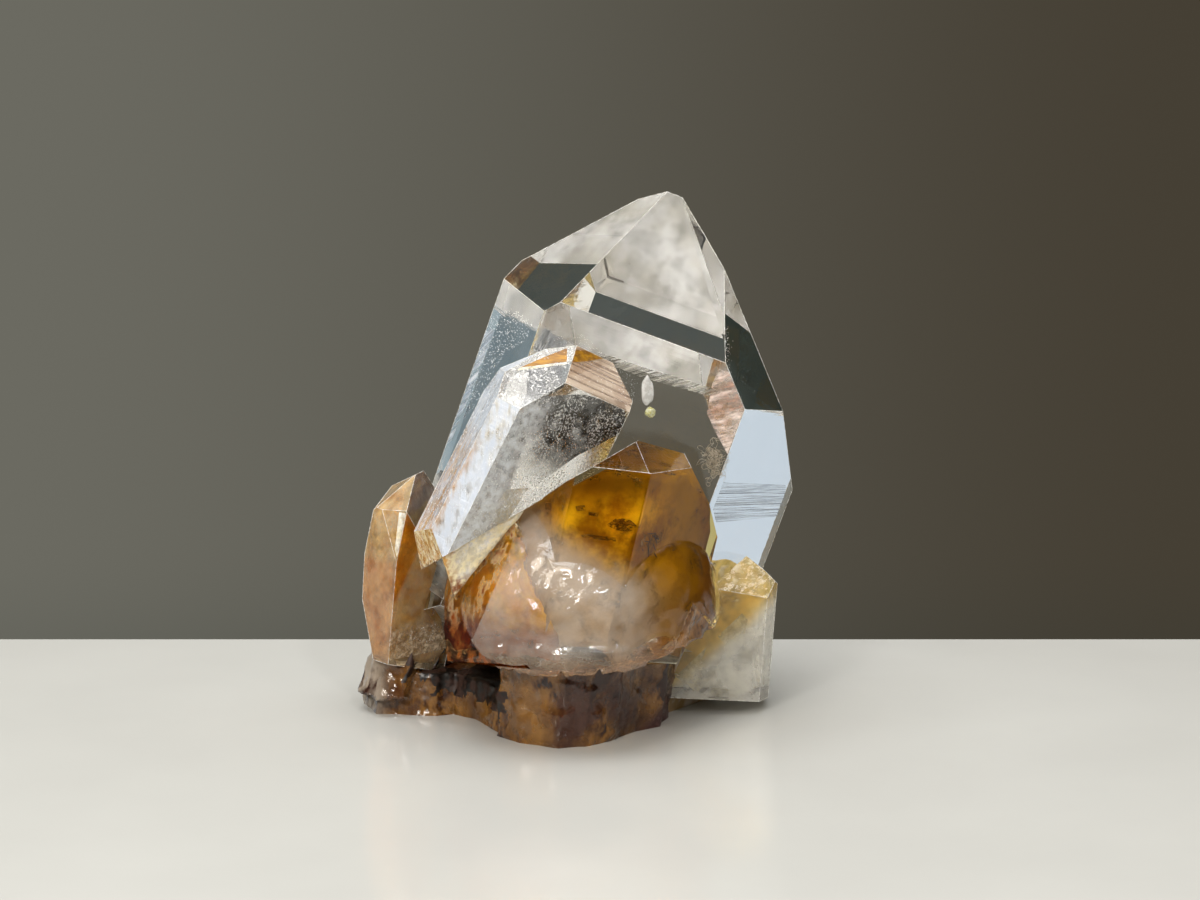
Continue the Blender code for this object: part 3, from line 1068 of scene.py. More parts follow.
@dataclass(frozen=True)
class Flakes:
    """Tiny bright flakes strewn over a guide sheet inside the quartz."""

    name: str
    per_mm2: float
    smallest_mm: float
    largest_mm: float
    seed: int
    finish: Cloud
    corners: int = 3
    height: float = 0.8

    def tree(self) -> Tree:
        """Strew small cones, each turned and sized at random.

        Returns:
            The geometry tree.
        """
        tree, start = start_growth(
            "flakes_" + self.name,
            {"Density": "NodeSocketFloat", "Smallest": "NodeSocketFloat", "Largest": "NodeSocketFloat",
             "Seed": "NodeSocketInt"},
        )
        seed = {"Seed": start.outputs["Seed"]}
        points = add_node(tree, "GeometryNodeDistributePointsOnFaces", None,
                          {"Mesh": start.outputs["Geometry"], "Density": start.outputs["Density"], **seed})
        flake = add_node(tree, "GeometryNodeMeshCone", {"Vertices": self.corners, "Radius Top": 0.0,
                                                        "Radius Bottom": 1.0, "Depth": self.height})
        turn = add_node(tree, "FunctionNodeRandomValue", {0: (0.0, 0.0, 0.0), 1: FULL_TURN}, seed,
                        data_type="FLOAT_VECTOR")
        sizes = {2: start.outputs["Smallest"], 3: start.outputs["Largest"], **seed}
        size = add_node(tree, "FunctionNodeRandomValue", None, sizes, data_type="FLOAT")
        strewn = add_node(tree, "GeometryNodeInstanceOnPoints", None,
                          {"Points": points.outputs["Points"], "Instance": flake.outputs["Mesh"],
                           "Rotation": turn.outputs[0], "Scale": size.outputs[1]})
        return end_growth(tree, start, strewn.outputs["Instances"])

    def build(self, guide: Piece) -> Piece:
        """Strew the flakes.

        Args:
            guide: the sheet they lie on, which is removed.

        Returns:
            The piece.
        """
        values = {"Density": self.per_mm2 / (MM * MM), "Smallest": self.smallest_mm * MM,
                  "Largest": self.largest_mm * MM, "Seed": self.seed, "Finish": self.finish.build()}
        return run_tree(self.tree(), guide, self.name, values)


# ---------------------------------------------------------------- the skin


@dataclass
class ClusterSkin:
    """The cluster's whole outside, in zones.

    A facet belongs to a crystal's face when its direction and reach match, and to the dome
    when it lies on it.  The seam divides the dome from the orange wedge; the gaps, each
    (left, right, low, high), are where the foot is painted near-black as the shade of the
    recess under the break.  Lumps are pairs of an amount and a spacing.  The dome's waves
    spread from where it was struck, and its rim stands out under a line of (x, z) points.
    """

    weld: float = 1e-7
    match_normal: float = 0.9995
    match_reach: float = 0.03
    floor_normal: float = -0.99
    floor_mm: float = 0.05
    dome_slack: float = 0.03
    dome_low_mm: float = 5.0
    seam_way: Triple = (-0.923, 0.0, 0.384)
    seam_mm: float = 12.55
    gaps_mm: tuple[Quad, ...] = ((-16.2, -13.8, 3.5, 5.8), (-13.8, -7.6, 1.9, 5.8))
    gap_fray_mm: float = 1.2
    gap_fray_spacing_mm: float = 1.2
    break_facet_mm: float = 0.45
    foot_lumps: tuple[Pair, ...] = ((0.3, 1.4), (0.15, 0.5))
    heel_share: float = 0.5
    dome_lumps: tuple[Pair, ...] = ((0.2, 1.1), (0.05, 0.45))
    strike: Triple = (-9.0, -13.0, 8.0)
    wave_mm: float = 0.05
    wave_length_mm: float = 1.3
    wave_bend: Pair = (3.0, 3.0)
    wave_swell: Pair = (1.0, 2.0)
    wave_rest: float = 0.4
    rim_mm: float = 0.5
    rim_step_mm: float = 0.4
    rim_wander: Pair = (0.5, 2.2)
    rim_fade_mm: float = 1.5
    rim_ends_mm: Pair = (-10.3, 6.0)
    rim_line: tuple[Pair, ...] = ((-5.7, 9.2), (2.0, 9.0), (4.0, 9.4), (6.5, 10.2), (8.5, 11.0))
    edge_angle: float = 9.0
    edge_mm: float = 0.016
    amber_crisp_mm: float = 21.0

    def zone_of(self, centre: Vector, normal: Vector) -> Zone:
        """Tell which crystal or break a facet belongs to.

        Args:
            centre: the facet's middle, in the layout's millimetres.
            normal: its outward direction.

        Returns:
            The facet's zone.
        """
        if normal.z < self.floor_normal and centre.z < self.floor_mm:
            return Zone.CUT
        for crystal in CRYSTALS:
            local = centre - Vector(crystal.anchor)
            for number, (outward, reach) in enumerate(crystal.planes()):
                off = abs(outward.dot(local) - reach)
                if normal.dot(outward) > self.match_normal and off < self.match_reach:
                    return FACE_ZONES.get((crystal.zone, number), crystal.zone)
        if abs(dome_ratio(centre) - 1.0) < self.dome_slack and centre.z > self.dome_low_mm:
            left_of_seam = Vector(self.seam_way).dot(centre) > self.seam_mm
            return Zone.WEDGE if left_of_seam else Zone.DOME
        return Zone.FOOT

    def cut_seam(self, bm: BMesh) -> None:
        """Cut the dome's facets along the seam between dome and wedge.

        Args:
            bm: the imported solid's mesh.
        """
        way = Vector(self.seam_way)
        near = [
            facet for facet in bm.faces
            if self.zone_of(in_layout(facet.calc_center_median()), facet.normal) in (Zone.DOME, Zone.WEDGE)
        ]
        edges = dict.fromkeys(edge for facet in near for edge in facet.edges)
        verts = dict.fromkeys(vert for facet in near for vert in facet.verts)
        place = placed(way * self.seam_mm)
        bmesh.ops.bisect_plane(bm, geom=[*near, *edges, *verts], plane_co=place, plane_no=way)
        bmesh.ops.triangulate(bm, faces=[facet for facet in bm.faces if len(facet.verts) > 3])

    def paint_gap_shade(self, bm: BMesh) -> None:
        """Mark the foot's facets in the recess under the break for the near-black finish that paints its
        shade.

        Args:
            bm: the skin, after its breaks are split.
        """
        for facet in bm.faces:
            if facet.material_index != Zone.FOOT.value:
                continue
            centre = in_layout(facet.calc_center_median())
            spot = centre + noise.noise_vector(centre / self.gap_fray_spacing_mm) * self.gap_fray_mm
            for left, right, low, high in self.gaps_mm:
                if left < spot.x < right and low < spot.z < high and centre.y < 0.0:
                    # Painted shade: these facets get the near-black finish that stands for the recess's
                    # shade.
                    facet.material_index = Zone.GAP.value

    def rim_lift(self, point: Vector) -> float:
        """How far the overhanging rim stands out at a point of the dome.

        Args:
            point: a place in the layout's millimetres.

        Returns:
            Millimetres outwards.
        """
        line = uneven(point, [self.rim_wander], float(np.interp(point.x, *zip(*self.rim_line))))
        step = share_of((line - point.z) / self.rim_step_mm)
        left, right = self.rim_ends_mm
        fade = share_of((right - point.x) / self.rim_fade_mm) * share_of((point.x - left) / self.rim_fade_mm)
        return self.rim_mm * fade * step * step * (3.0 - 2.0 * step)

    def move(self, point: Vector, normal: Vector, zone: Zone) -> Vector:
        """Where a point inside a break goes.

        Args:
            point: its place in the layout's millimetres.
            normal: the surface's direction there.
            zone: the break.

        Returns:
            Its new place.
        """
        if zone is Zone.DOME:
            away = (point - Vector(self.strike)).length
            wave = math.sin(uneven(point, [self.wave_bend], away / self.wave_length_mm * math.tau))
            swell = self.wave_mm * wave * uneven(point, [self.wave_swell], self.wave_rest)
            lift = uneven(point, self.dome_lumps, swell) + self.rim_lift(point)
            return DOME_CENTRE + (point - DOME_CENTRE) / dome_ratio(point) + normal * lift
        share = self.heel_share if zone is Zone.HEEL else 1.0
        return point + normal * (uneven(point, self.foot_lumps) * share)

    def carve(self, bm: BMesh) -> None:
        """Give the breaks their relief, and keep their borders where they are.

        Args:
            bm: the skin, with its zones marked.
        """
        bm.normal_update()
        kind = {Zone.GAP.value: Zone.FOOT.value}
        moved = []
        for vert in bm.verts:
            zones = {kind.get(facet.material_index, facet.material_index) for facet in vert.link_faces}
            point = in_layout(vert.co)
            if len(zones) == 1 and zones <= BROKEN:
                if point.z > self.floor_mm:
                    moved.append((vert, placed(self.move(point, vert.normal, Zone(zones.pop())))))
            elif Zone.DOME.value in zones:
                away = (point - DOME_CENTRE) * Vector((1.0, 1.0, 0.0))
                moved.append((vert, placed(point + away.normalized() * self.rim_lift(point))))
        for vert, place in moved:
            vert.co = place
        for edge in bm.edges:
            zones = {kind.get(facet.material_index, facet.material_index) for facet in edge.link_faces}
            edge.smooth = len(zones) == 1 and zones <= BROKEN
        for facet in bm.faces:
            facet.smooth = facet.material_index in BROKEN

    def sharp_edges(self, bm: BMesh) -> BMesh:
        """Copy the crisp edges between grown faces, as bare lines.

        Args:
            bm: the skin, before its breaks are split.

        Returns:
            A mesh of edges only.
        """
        lines = bmesh.new()
        made: dict[int, bmesh.types.BMVert] = {}
        for edge in bm.edges:
            zones = [facet.material_index for facet in edge.link_faces]
            if len(zones) != 2 or not GROWN.issuperset(zones):
                continue
            low = min(vert.co.z for vert in edge.verts) / MM
            if low < self.amber_crisp_mm and set(zones) == {Zone.AMBER.value}:
                continue
            if edge.is_convex and edge.calc_face_angle() > math.radians(self.edge_angle):
                for vert in edge.verts:
                    if vert.index not in made:
                        made[vert.index] = lines.verts.new(vert.co)
                lines.edges.new([made[vert.index] for vert in edge.verts])
        return lines

    def build(self) -> tuple[Piece, Piece]:
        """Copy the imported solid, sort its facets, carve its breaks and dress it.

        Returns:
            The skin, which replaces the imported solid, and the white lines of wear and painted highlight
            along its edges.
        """
        bm = bmesh.new()
        bm.from_mesh(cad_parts[CAD_NODE].data)
        bmesh.ops.remove_doubles(bm, verts=bm.verts[:], dist=self.weld)
        self.cut_seam(bm)
        for facet in bm.faces:
            facet.material_index = self.zone_of(in_layout(facet.calc_center_median()), facet.normal).value
            facet.smooth = False
        indices = [facet.material_index for facet in bm.faces]
        LOG.info("zones: %s", {zone.name: indices.count(zone.value) for zone in Zone})
        lines = new_object("worn_edge_highlights_guide", self.sharp_edges(bm), [])
        split_long(bm, self.break_facet_mm * MM, rounds=4,
                   wanted=lambda edge: any(facet.material_index in BROKEN for facet in edge.link_faces))
        # Painted shade: the foot's facets under the break are marked near-black.
        self.paint_gap_shade(bm)
        self.carve(bm)
        # White lines along the crisp edges: partly worn chips, partly painted highlights.
        edge_highlights = WornEdgeHighlights(self.edge_mm).build(lines)
        return new_object("quartz_skin", bm, [FINISHES[zone].build() for zone in Zone]), edge_highlights


# ---------------------------------------------------------------- inside the quartz


def shaped_like(crystal: CrystalFaces, inset: float, facet_mm: float, wander_mm: float) -> BMesh:
    """Cut a body like a crystal, smaller by an inset, and let its skin wander.

    Args:
        crystal: the crystal it lies in.
        inset: millimetres from the crystal's faces.
        facet_mm: the longest side of its facets.
        wander_mm: how far its skin wanders.

    Returns:
        The closed body, in metres in the part's frame.
    """
    bm = bmesh.new()
    bmesh.ops.create_cube(bm, size=BLOCK_MM, matrix=Matrix.Translation(Vector(crystal.anchor)))
    crystal.trim(bm, inset, floor_gap=0.6, cap=True)
    bmesh.ops.triangulate(bm, faces=bm.faces[:])
    split_long(bm, facet_mm, rounds=5)
    for vert in bm.verts:
        vert.co += noise.noise_vector(vert.co / WANDER_SPACING_MM) * wander_mm
    bmesh.ops.recalc_face_normals(bm, faces=bm.faces[:])
    return settle(bm)


@dataclass
class StainCores:
    """Clouded hearts of the stained crystals, each the shape of its crystal but smaller.

    The plan holds each heart's name, crystal, inset in millimetres and finish.
    """

    facet_mm: float = 1.2
    wander_mm: float = 0.5
    plan: tuple[tuple[str, CrystalFaces, float, Cloud], ...] = (
        ("amber_core", AMBER_POINT, 0.6, AMBER_STAIN),
        ("orange_core", AMBER_WEDGE, 0.9, ORANGE_STAIN),
        ("tan_core", TAN_POINT, 0.7, TAN_STAIN),
        ("pale_core", SIDE_POINT, 0.9, PALE_STAIN),
    )

    def build(self) -> list[Piece]:
        """Make a clouded heart in each stained crystal.

        Returns:
            The cores.
        """
        return [
            new_object(name, shaped_like(crystal, inset, self.facet_mm, self.wander_mm), [cloud.build()])
            for name, crystal, inset, cloud in self.plan
        ]


@dataclass
class RootVeils:
    """Milky sheets across the clear crystal's root, square to its axis."""

    depths_mm: tuple[float, ...] = (-9.5, -11.0, -12.8, -15.0)
    inset_mm: float = 0.008
    floor_gap_mm: float = 0.8
    grid: int = 44
    reach_mm: float = 32.0
    wander_mm: float = 0.6
    spacing_mm: float = 4.0
    seed_step: float = 3.7

    def sheet(self, depth: float, seed: float) -> BMesh:
        """Make one wandering sheet, trimmed to the clear crystal.

        Args:
            depth: millimetres from the anchor along the axis.
            seed: where its wandering starts.

        Returns:
            The sheet, in metres in the part's frame.
        """
        bm = bmesh.new()
        turned = CLEAR_POINT.frame()
        anchor = Vector(CLEAR_POINT.anchor)
        bmesh.ops.create_grid(bm, x_segments=self.grid, y_segments=self.grid, size=self.reach_mm / 2.0)
        for vert in bm.verts:
            x, y, _ = vert.co
            rise = noise.noise(Vector((x / self.spacing_mm, y / self.spacing_mm, seed))) * self.wander_mm
            vert.co = anchor + turned @ Vector((x, y, depth + rise))
        CLEAR_POINT.trim(bm, self.inset_mm, self.floor_gap_mm, cap=False)
        return settle(bm)

    def build(self) -> list[Piece]:
        """Make the milky sheets.

        Returns:
            The sheets.
        """
        milk = MILK.build()
        return [
            new_object(f"root_veil_{i + 1}", self.sheet(depth, self.seed_step * i), [milk])
            for i, depth in enumerate(self.depths_mm)
        ]


@dataclass(frozen=True)
class Sheet:
    """A thin sheet with an outline of its own, lying on or just under one face.

    The outline is in the layout's x and z; the face gives the rest and trims the sheet.
    """

    crystal: CrystalFaces
    face: int
    outline: tuple[Pair, ...]
    depth_mm: float = 0.0
    thick_mm: float = 0.03
    margin_mm: float = 0.05

    def row(self, bm: BMesh, depth: float) -> list[bmesh.types.BMVert]:
        """Put the outline's corners into a mesh, at a depth in millimetres under the face."""
        return [bm.verts.new(placed(self.crystal.on_face(self.face, x, z, depth))) for x, z in self.outline]

    def mesh(self) -> BMesh:
        """Make the sheet, closed all round where it has a thickness.

        Returns:
            The mesh, in metres in the part's frame.
        """
        bm = bmesh.new()
        closed = self.thick_mm > 0.0
        upper = self.row(bm, self.depth_mm)
        bm.faces.new(upper)
        if closed:
            lower = self.row(bm, self.depth_mm + self.thick_mm)
            bm.faces.new(lower[::-1])
            for i, vert in enumerate(upper):
                after = (i + 1) % len(upper)
                bm.faces.new((vert, lower[i], lower[after], upper[after]))
            bmesh.ops.recalc_face_normals(bm, faces=bm.faces[:])
        anchor = Vector(self.crystal.anchor)
        for number, (normal, reach) in enumerate(self.crystal.planes()):
            if number != self.face:
                cut_beyond(bm, placed(anchor + normal * (reach - self.margin_mm)), normal, closed)
        return bm


# Depth and thickness, in millimetres, of a mark that lies on its face instead of under it.
ON_FACE = (-0.012, 0.02)
# Every mark: its name, its finish and its sheet.
MARKS = (
    ("golden_crack_left", GOLD_CRACK, Sheet(
        FROSTED_POINT, 11, ((-6.1, 29.95), (-4.2, 30.65), (-2.56, 31.2), (-2.56, 30.3)), *ON_FACE)),
    ("white_crack_rim", FROST_VEIL, Sheet(
        FROSTED_POINT, 11, ((-6.4, 29.75), (-6.1, 29.93), (-2.56, 30.28), (-2.56, 30.1), (-4.4, 29.95)),
        *ON_FACE)),
    ("golden_crack_right", GOLD_CRACK, Sheet(
        FROSTED_POINT, 6, ((-2.56, 30.3), (-2.56, 31.2), (-1.0, 30.9), (0.4, 30.1), (-1.3, 30.15)),
        *ON_FACE)),
    # Painted shade: dark sheets that stand for the dim room seen through the frosted crystal's front and tip.
    ("painted_shade_heart", SEEN_THROUGH_SHADE, Sheet(
        FROSTED_POINT, 0, ((-5.0, 27.9), (-1.0, 27.6), (2.2, 26.2), (2.4, 24.2), (-1.5, 22.6), (-5.4, 20.2),
                           (-8.0, 20.6), (-6.6, 24.6)), 0.9)),
    ("painted_shade_tip", SEEN_THROUGH_SHADE, Sheet(
        FROSTED_POINT, 11, ((-5.6, 29.9), (-2.9, 30.3), (-2.9, 29.0), (-5.6, 27.7)), 0.6)),
    ("front_growth_lines", GROWTH, Sheet(
        CLEAR_POINT, 0, ((0.3, 30.35), (3.3, 29.35), (11.3, 27.0), (11.3, 26.4), (3.3, 28.5), (0.3, 29.7)),
        0.12)),
    ("rosy_window_edge", ROSY_VEIL, Sheet(
        CLEAR_POINT, 0, ((9.3, 29.3), (10.8, 28.8), (11.3, 25.9), (10.1, 22.4), (9.1, 24.2), (8.4, 25.8),
                         (8.8, 28.1)), *ON_FACE)),
    ("tan_light_strip", FROST_VEIL, Sheet(
        TAN_POINT, 0, ((-16.05, 17.3), (-15.5, 17.3), (-15.95, 13.7), (-16.5, 13.7)), *ON_FACE)),
    ("tan_crumble", CRUMBLE, Sheet(
        TAN_POINT, 1, ((-17.0, 8.4), (-12.0, 8.4), (-12.0, 5.0), (-17.0, 5.0)), *ON_FACE)),
    ("tan_crack", RUST_PATCH, Sheet(
        TAN_POINT, 0, ((-18.0, 12.9), (-16.5, 13.7), (-16.5, 13.6), (-18.0, 12.75)), 0.05)),
    ("side_veil_high", FROST_VEIL, Sheet(
        SIDE_POINT, 0, ((6.2, 3.2), (11.6, 8.4), (12.8, 7.0), (8.0, 1.8)), 0.9)),
    ("side_veil_low", FROST_VEIL, Sheet(
        SIDE_POINT, 0, ((8.2, 1.4), (13.0, 5.6), (13.2, 2.2), (11.0, 1.3)), 1.4)),
    ("frost_veil_low", FROST_VEIL, Sheet(
        FROSTED_POINT, 0, ((-5.4, 20.6), (-8.2, 20.8), (-10.4, 17.9), (-9.4, 15.8), (-7.0, 18.2)), 0.4)),
    # Painted sky reflection: bright bluish strokes on the clear crystal's left face.
    ("left_face_stripes_and_sheen", LEFT_STRIPE_SHEEN, Sheet(
        CLEAR_POINT, 5, ((-9.6, 31.4), (-8.6, 31.2), (-10.6, 26.0), (-12.2, 22.0), (-13.0, 21.2),
                         (-12.4, 24.0)), 0.1)),
    ("right_growth_lines", PALE_GROWTH, Sheet(
        CLEAR_POINT, 1, ((9.8, 20.1), (15.3, 18.3), (15.2, 17.0), (14.6, 15.6), (9.3, 16.6), (9.0, 17.9)),
        0.12)),
    ("brown_patch", RUST_PATCH, Sheet(
        AMBER_POINT, 0, ((0.5, 18.3), (1.3, 18.9), (2.3, 18.7), (3.0, 18.1), (2.2, 17.8), (1.1, 17.9)), 0.3)),
    ("brown_streak", RUST_PATCH, Sheet(
        AMBER_POINT, 0, ((-1.6, 17.6), (1.2, 17.3), (1.2, 17.0), (-1.4, 17.3)), 0.3)),
    ("brown_fleck_high", RUST_PATCH, Sheet(
        AMBER_POINT, 0, ((-1.9, 19.7), (-1.2, 19.8), (-1.1, 19.4), (-1.8, 19.3)), 0.3)),
    ("brown_fleck_low", RUST_PATCH, Sheet(
        AMBER_POINT, 0, ((-0.9, 19.3), (-0.1, 19.2), (-0.2, 18.9), (-0.9, 19.0)), 0.3)),
)


@dataclass
class InnerMarks:
    """The stains, sheets of painted shade and brown patches that lie on or under single faces."""

    marks: tuple[tuple[str, Cloud, Sheet], ...] = MARKS

    def build(self) -> list[Piece]:
        """Make the marks."""
        return [new_object(name, sheet.mesh(), [finish.build()]) for name, finish, sheet in self.marks]


@dataclass
class Sparkle:
    """Bright flakes on and behind single faces, and through the frosted crystal.

    A sheet's flakes lie on it; those of the frosted crystal lie on bodies shaped like it,
    given by their flakes, inset and wander in millimetres.
    """

    sheets: tuple[tuple[Flakes, Sheet], ...] = (
        (Flakes("tan_sparkle", 14.0, 0.02, 0.07, 13, SPARKLE), Sheet(
            TAN_POINT, 1, ((-15.9, 7.3), (-12.6, 7.4), (-13.2, 6.2), (-14.6, 5.2)), thick_mm=0.0)),
        (Flakes("golden_sparkle", 16.0, 0.02, 0.09, 15, GOLD_SPARKLE), Sheet(
            SIDE_POINT, 6, ((11.2, 10.6), (12.6, 11.2), (12.9, 10.2), (11.6, 9.8)), thick_mm=0.0)),
        (Flakes("edge_chips", 22.0, 0.01, 0.05, 17, SPARKLE), Sheet(
            CLEAR_POINT, 7, ((9.6, 32.6), (10.1, 32.6), (10.3, 28.2), (9.7, 28.2)), thick_mm=0.0)),
        (Flakes("right_tip_dust", 2.0, 0.01, 0.035, 19, SPARKLE), Sheet(
            CLEAR_POINT, 7, ((9.8, 32.3), (11.5, 30.1), (13.0, 26.4), (10.2, 26.4)), thick_mm=0.0)),
        (Flakes("left_face_sparkle", 20.0, 0.02, 0.06, 5, SPARKLE), Sheet(
            CLEAR_POINT, 5, ((-8.9, 32.3), (-7.0, 33.3), (-5.3, 32.6), (-5.6, 31.4), (-7.7, 29.7),
                             (-10.2, 25.0), (-11.2, 23.6), (-10.9, 26.0)), thick_mm=0.0)),
    )
    bodies: tuple[tuple[Flakes, float, float], ...] = (
        (Flakes("frosted_sparkle", 7.0, 0.015, 0.05, 7, SPARKLE), 0.0, 0.0),
        (Flakes("frosted_deep_sparkle", 7.0, 0.03, 0.08, 9, SPARKLE), 1.0, 0.3),
    )
    facet_mm: float = 2.0

    def build(self) -> list[Piece]:
        """Strew the flakes.

        Returns:
            The pieces.
        """
        guides = [(flakes, sheet.mesh()) for flakes, sheet in self.sheets]
        guides += [
            (flakes, shaped_like(FROSTED_POINT, inset, self.facet_mm, wander))
            for flakes, inset, wander in self.bodies
        ]
        return [flakes.build(new_object(flakes.name + "_guide", bm, [])) for flakes, bm in guides]


def tube(bm: BMesh, path: Sequence[Vector], radius: float, sides: int = 4) -> None:
    """Add a closed tapering tube along a path.

    Args:
        bm: the mesh that gets it, in metres.
        path: its points in the layout's millimetres.
        radius: its radius in millimetres at the thickest.
        sides: how many sides it has.
    """
    rings = []
    for i, point in enumerate(path):
        ahead = path[min(i + 1, len(path) - 1)] - path[max(i - 1, 0)]
        turn = ahead.to_track_quat("Z", "Y")
        swell = math.sin(math.pi * (i + 0.5) / len(path))
        wide = radius * (TUBE_END + (1.0 - TUBE_END) * swell)
        ring = []
        for k in range(sides):
            angle = math.tau * k / sides
            offset = turn @ Vector((math.cos(angle) * wide, math.sin(angle) * wide, 0.0))
            ring.append(bm.verts.new(placed(point + offset)))
        rings.append(ring)
    for low, high in zip(rings, rings[1:]):
        for k in range(sides):
            after = (k + 1) % sides
            bm.faces.new((low[k], low[after], high[after], high[k]))
    bm.faces.new(rings[0][::-1])
    bm.faces.new(rings[-1])


@dataclass
class Fibres:
    """Hair-like fibres at the edge of the clear window and needles in the amber crystal.

    The fibres start between the corners, given in x and z, at depths from a least one to
    a spread more.  The needles stand round a middle, also in x and z.
    """

    seed: int = 11
    curls: int = 90
    corners: tuple[Pair, ...] = ((7.6, 22.6), (9.1, 24.2), (9.7, 22.2), (9.3, 20.8), (8.5, 19.0))
    depth_mm: Pair = (0.5, 0.8)
    steps: int = 12
    step_mm: float = 0.14
    bend: float = 0.45
    stray: float = 0.25
    radius_mm: float = 0.018
    needles: int = 14
    middle: Pair = (4.3, 16.5)
    spread_mm: Pair = (0.35, 0.5)
    needle_depth_mm: float = 0.5
    needle_way: Triple = (0.45, 0.2, -0.9)
    needle_stray: float = 0.35
    half_length_mm: Pair = (0.25, 0.35)
    needle_radius_mm: float = 0.045

    def curl(self, rng: np.random.Generator, start: Vector) -> list[Vector]:
        """Walk one curling fibre.

        Args:
            rng: the seeded random numbers.
            start: where it starts, in the layout's millimetres.

        Returns:
            Its points.
        """
        point = start.copy()
        heading = Vector(rng.normal(size=3)).normalized()
        path = [point.copy()]
        bend = Vector(rng.normal(size=3)) * self.bend
        for _ in range(self.steps):
            heading = (heading + bend.cross(heading) + Vector(rng.normal(size=3)) * self.stray).normalized()
            point += heading * self.step_mm
            path.append(point.copy())
        return path

    def build(self) -> list[Piece]:
        """Make the fibres and the needles.

        Returns:
            The two pieces.
        """
        rng = np.random.default_rng(self.seed)
        bm = bmesh.new()
        least, more = self.depth_mm
        for _ in range(self.curls):
            shares = rng.dirichlet(np.ones(len(self.corners)))
            x, z = (float(sum(w * c[i] for w, c in zip(shares, self.corners))) for i in range(2))
            start = CLEAR_POINT.on_face(0, x, z, least + more * float(rng.random()))
            tube(bm, self.curl(rng, start), self.radius_mm)
        fibres = new_object("pale_fibres", bm, [FIBRE.build()])
        bm = bmesh.new()
        least, more = self.half_length_mm
        for _ in range(self.needles):
            x, z = (m + s * float(rng.normal()) for m, s in zip(self.middle, self.spread_mm))
            middle = AMBER_POINT.on_face(1, x, z, self.needle_depth_mm)
            way = Vector(self.needle_way) + Vector(rng.normal(size=3)) * self.needle_stray
            half = way.normalized() * (least + more * float(rng.random()))
            tube(bm, [middle - half, middle, middle + half], self.needle_radius_mm)
        return [fibres, new_object("black_needles", bm, [NEEDLE.build()])]


@dataclass(frozen=True)
class Lump:
    """A small uneven lump half sunk in the clear crystal's front face.

    Its middle is in the layout's x and z, its radii are its half sizes in millimetres and
    its seed is where its unevenness starts.
    """

    name: str
    middle: Pair
    radii: Triple
    finish: Quartz
    seed: float
    rough: float = 0.22
    pitch: float = 1.6

    def build(self) -> Piece:
        """Make the lump.

        Returns:
            The piece.
        """
        bm = bmesh.new()
        bmesh.ops.create_icosphere(bm, subdivisions=3, radius=1.0)
        centre = CLEAR_POINT.on_face(0, *self.middle)
        for vert in bm.verts:
            size = 1.0 + self.rough * noise.noise(vert.co * self.pitch + Vector((self.seed, 0.0, 0.0)))
            vert.co = placed(centre + Vector([c * radius * size for c, radius in zip(vert.co, self.radii)]))
        for facet in bm.faces:
            facet.smooth = True
        return new_object(self.name, bm, [self.finish.build()])


@dataclass
class Grains:
    """A milky drop and a yellow-green grain grown on the clear crystal's front face."""

    lumps: tuple[Lump, ...] = (
        Lump("milky_drop", (3.72, 27.45), (0.5, 0.22, 1.15), DROP, 1.0),
        Lump("yellow_green_grain", (3.95, 25.75), (0.42, 0.4, 0.42), GRAIN, 4.0),
    )

    def build(self) -> list[Piece]:
        """Make both lumps."""
        return [lump.build() for lump in self.lumps]


# ---------------------------------------------------------------- studio


@dataclass(frozen=True)
class Card:
    """A soft card of light far round the room: its heading, rise and size in degrees."""

    heading: float
    rise: float
    radius: float
    blur: float
    colour: str
    strength: float
    smallest: float = 0.5

    def direction(self) -> Vector:
        """Work out where the card hangs; heading 0 is behind the cluster, 90 to its right.

        Returns:
            Unit direction to the card.
        """
        flat = math.cos(math.radians(self.rise))
        angle = math.radians(self.heading)
        return Vector((math.sin(angle) * flat, math.cos(angle) * flat, math.sin(math.radians(self.rise))))

    def rim(self) -> dict[str, float]:
        """Where its light sets in and is full, as cosines of the angle from its middle."""
        ends = (self.radius + self.blur, max(self.radius - self.blur, self.smallest))
        return {name: math.cos(math.radians(end)) for name, end in zip(("From Min", "From Max"), ends)}


@dataclass(frozen=True)
class Lamp:
    """One soft box: its place, aim and size in metres, its power in watts and its colour."""

    name: str
    place: Triple
    aim: Triple
    size: Pair
    power: float
    colour: str = "#ffffff"

    def hang(self) -> None:
        """Hang the lamp, turned to its aim."""
        data = bpy.data.lights.new(self.name, "AREA")
        data.shape = "RECTANGLE"
        data.size, data.size_y = self.size
        data.energy = self.power
        data.color = linear(self.colour)[:3]
        item = link_object(self.name, data)
        item.location = self.place
        item.rotation_euler = (Vector(self.place) - Vector(self.aim)).to_track_quat("Z", "Y").to_euler()


CARDS = (
    Card(-38.0, 6.0, 14.0, 4.0, "#c8dcf4", 0.75),
    Card(68.0, -26.0, 22.0, 8.0, "#b4ccd8", 0.5),
    Card(0.0, 80.0, 40.0, 12.0, "#ffffff", 0.9),
    Card(160.0, 35.0, 30.0, 10.0, "#fff4e6", 0.7),
)
LAMPS = (
    Lamp("top_soft", (-0.05, -0.05, 0.6), (0.0, 0.0, 0.02), (0.5, 0.5), 4.0),
    Lamp("front_soft", (-0.25, -0.5, 0.45), (0.0, 0.0, 0.015), (0.3, 0.3), 2.2, "#fff4e4"),
    Lamp("glint_left", (-0.16, -0.32, 0.22), (0.0, 0.0, 0.012), (0.04, 0.06), 0.5),
    Lamp("glint_right", (0.12, -0.36, 0.30), (0.0, 0.0, 0.012), (0.03, 0.03), 0.4),
)


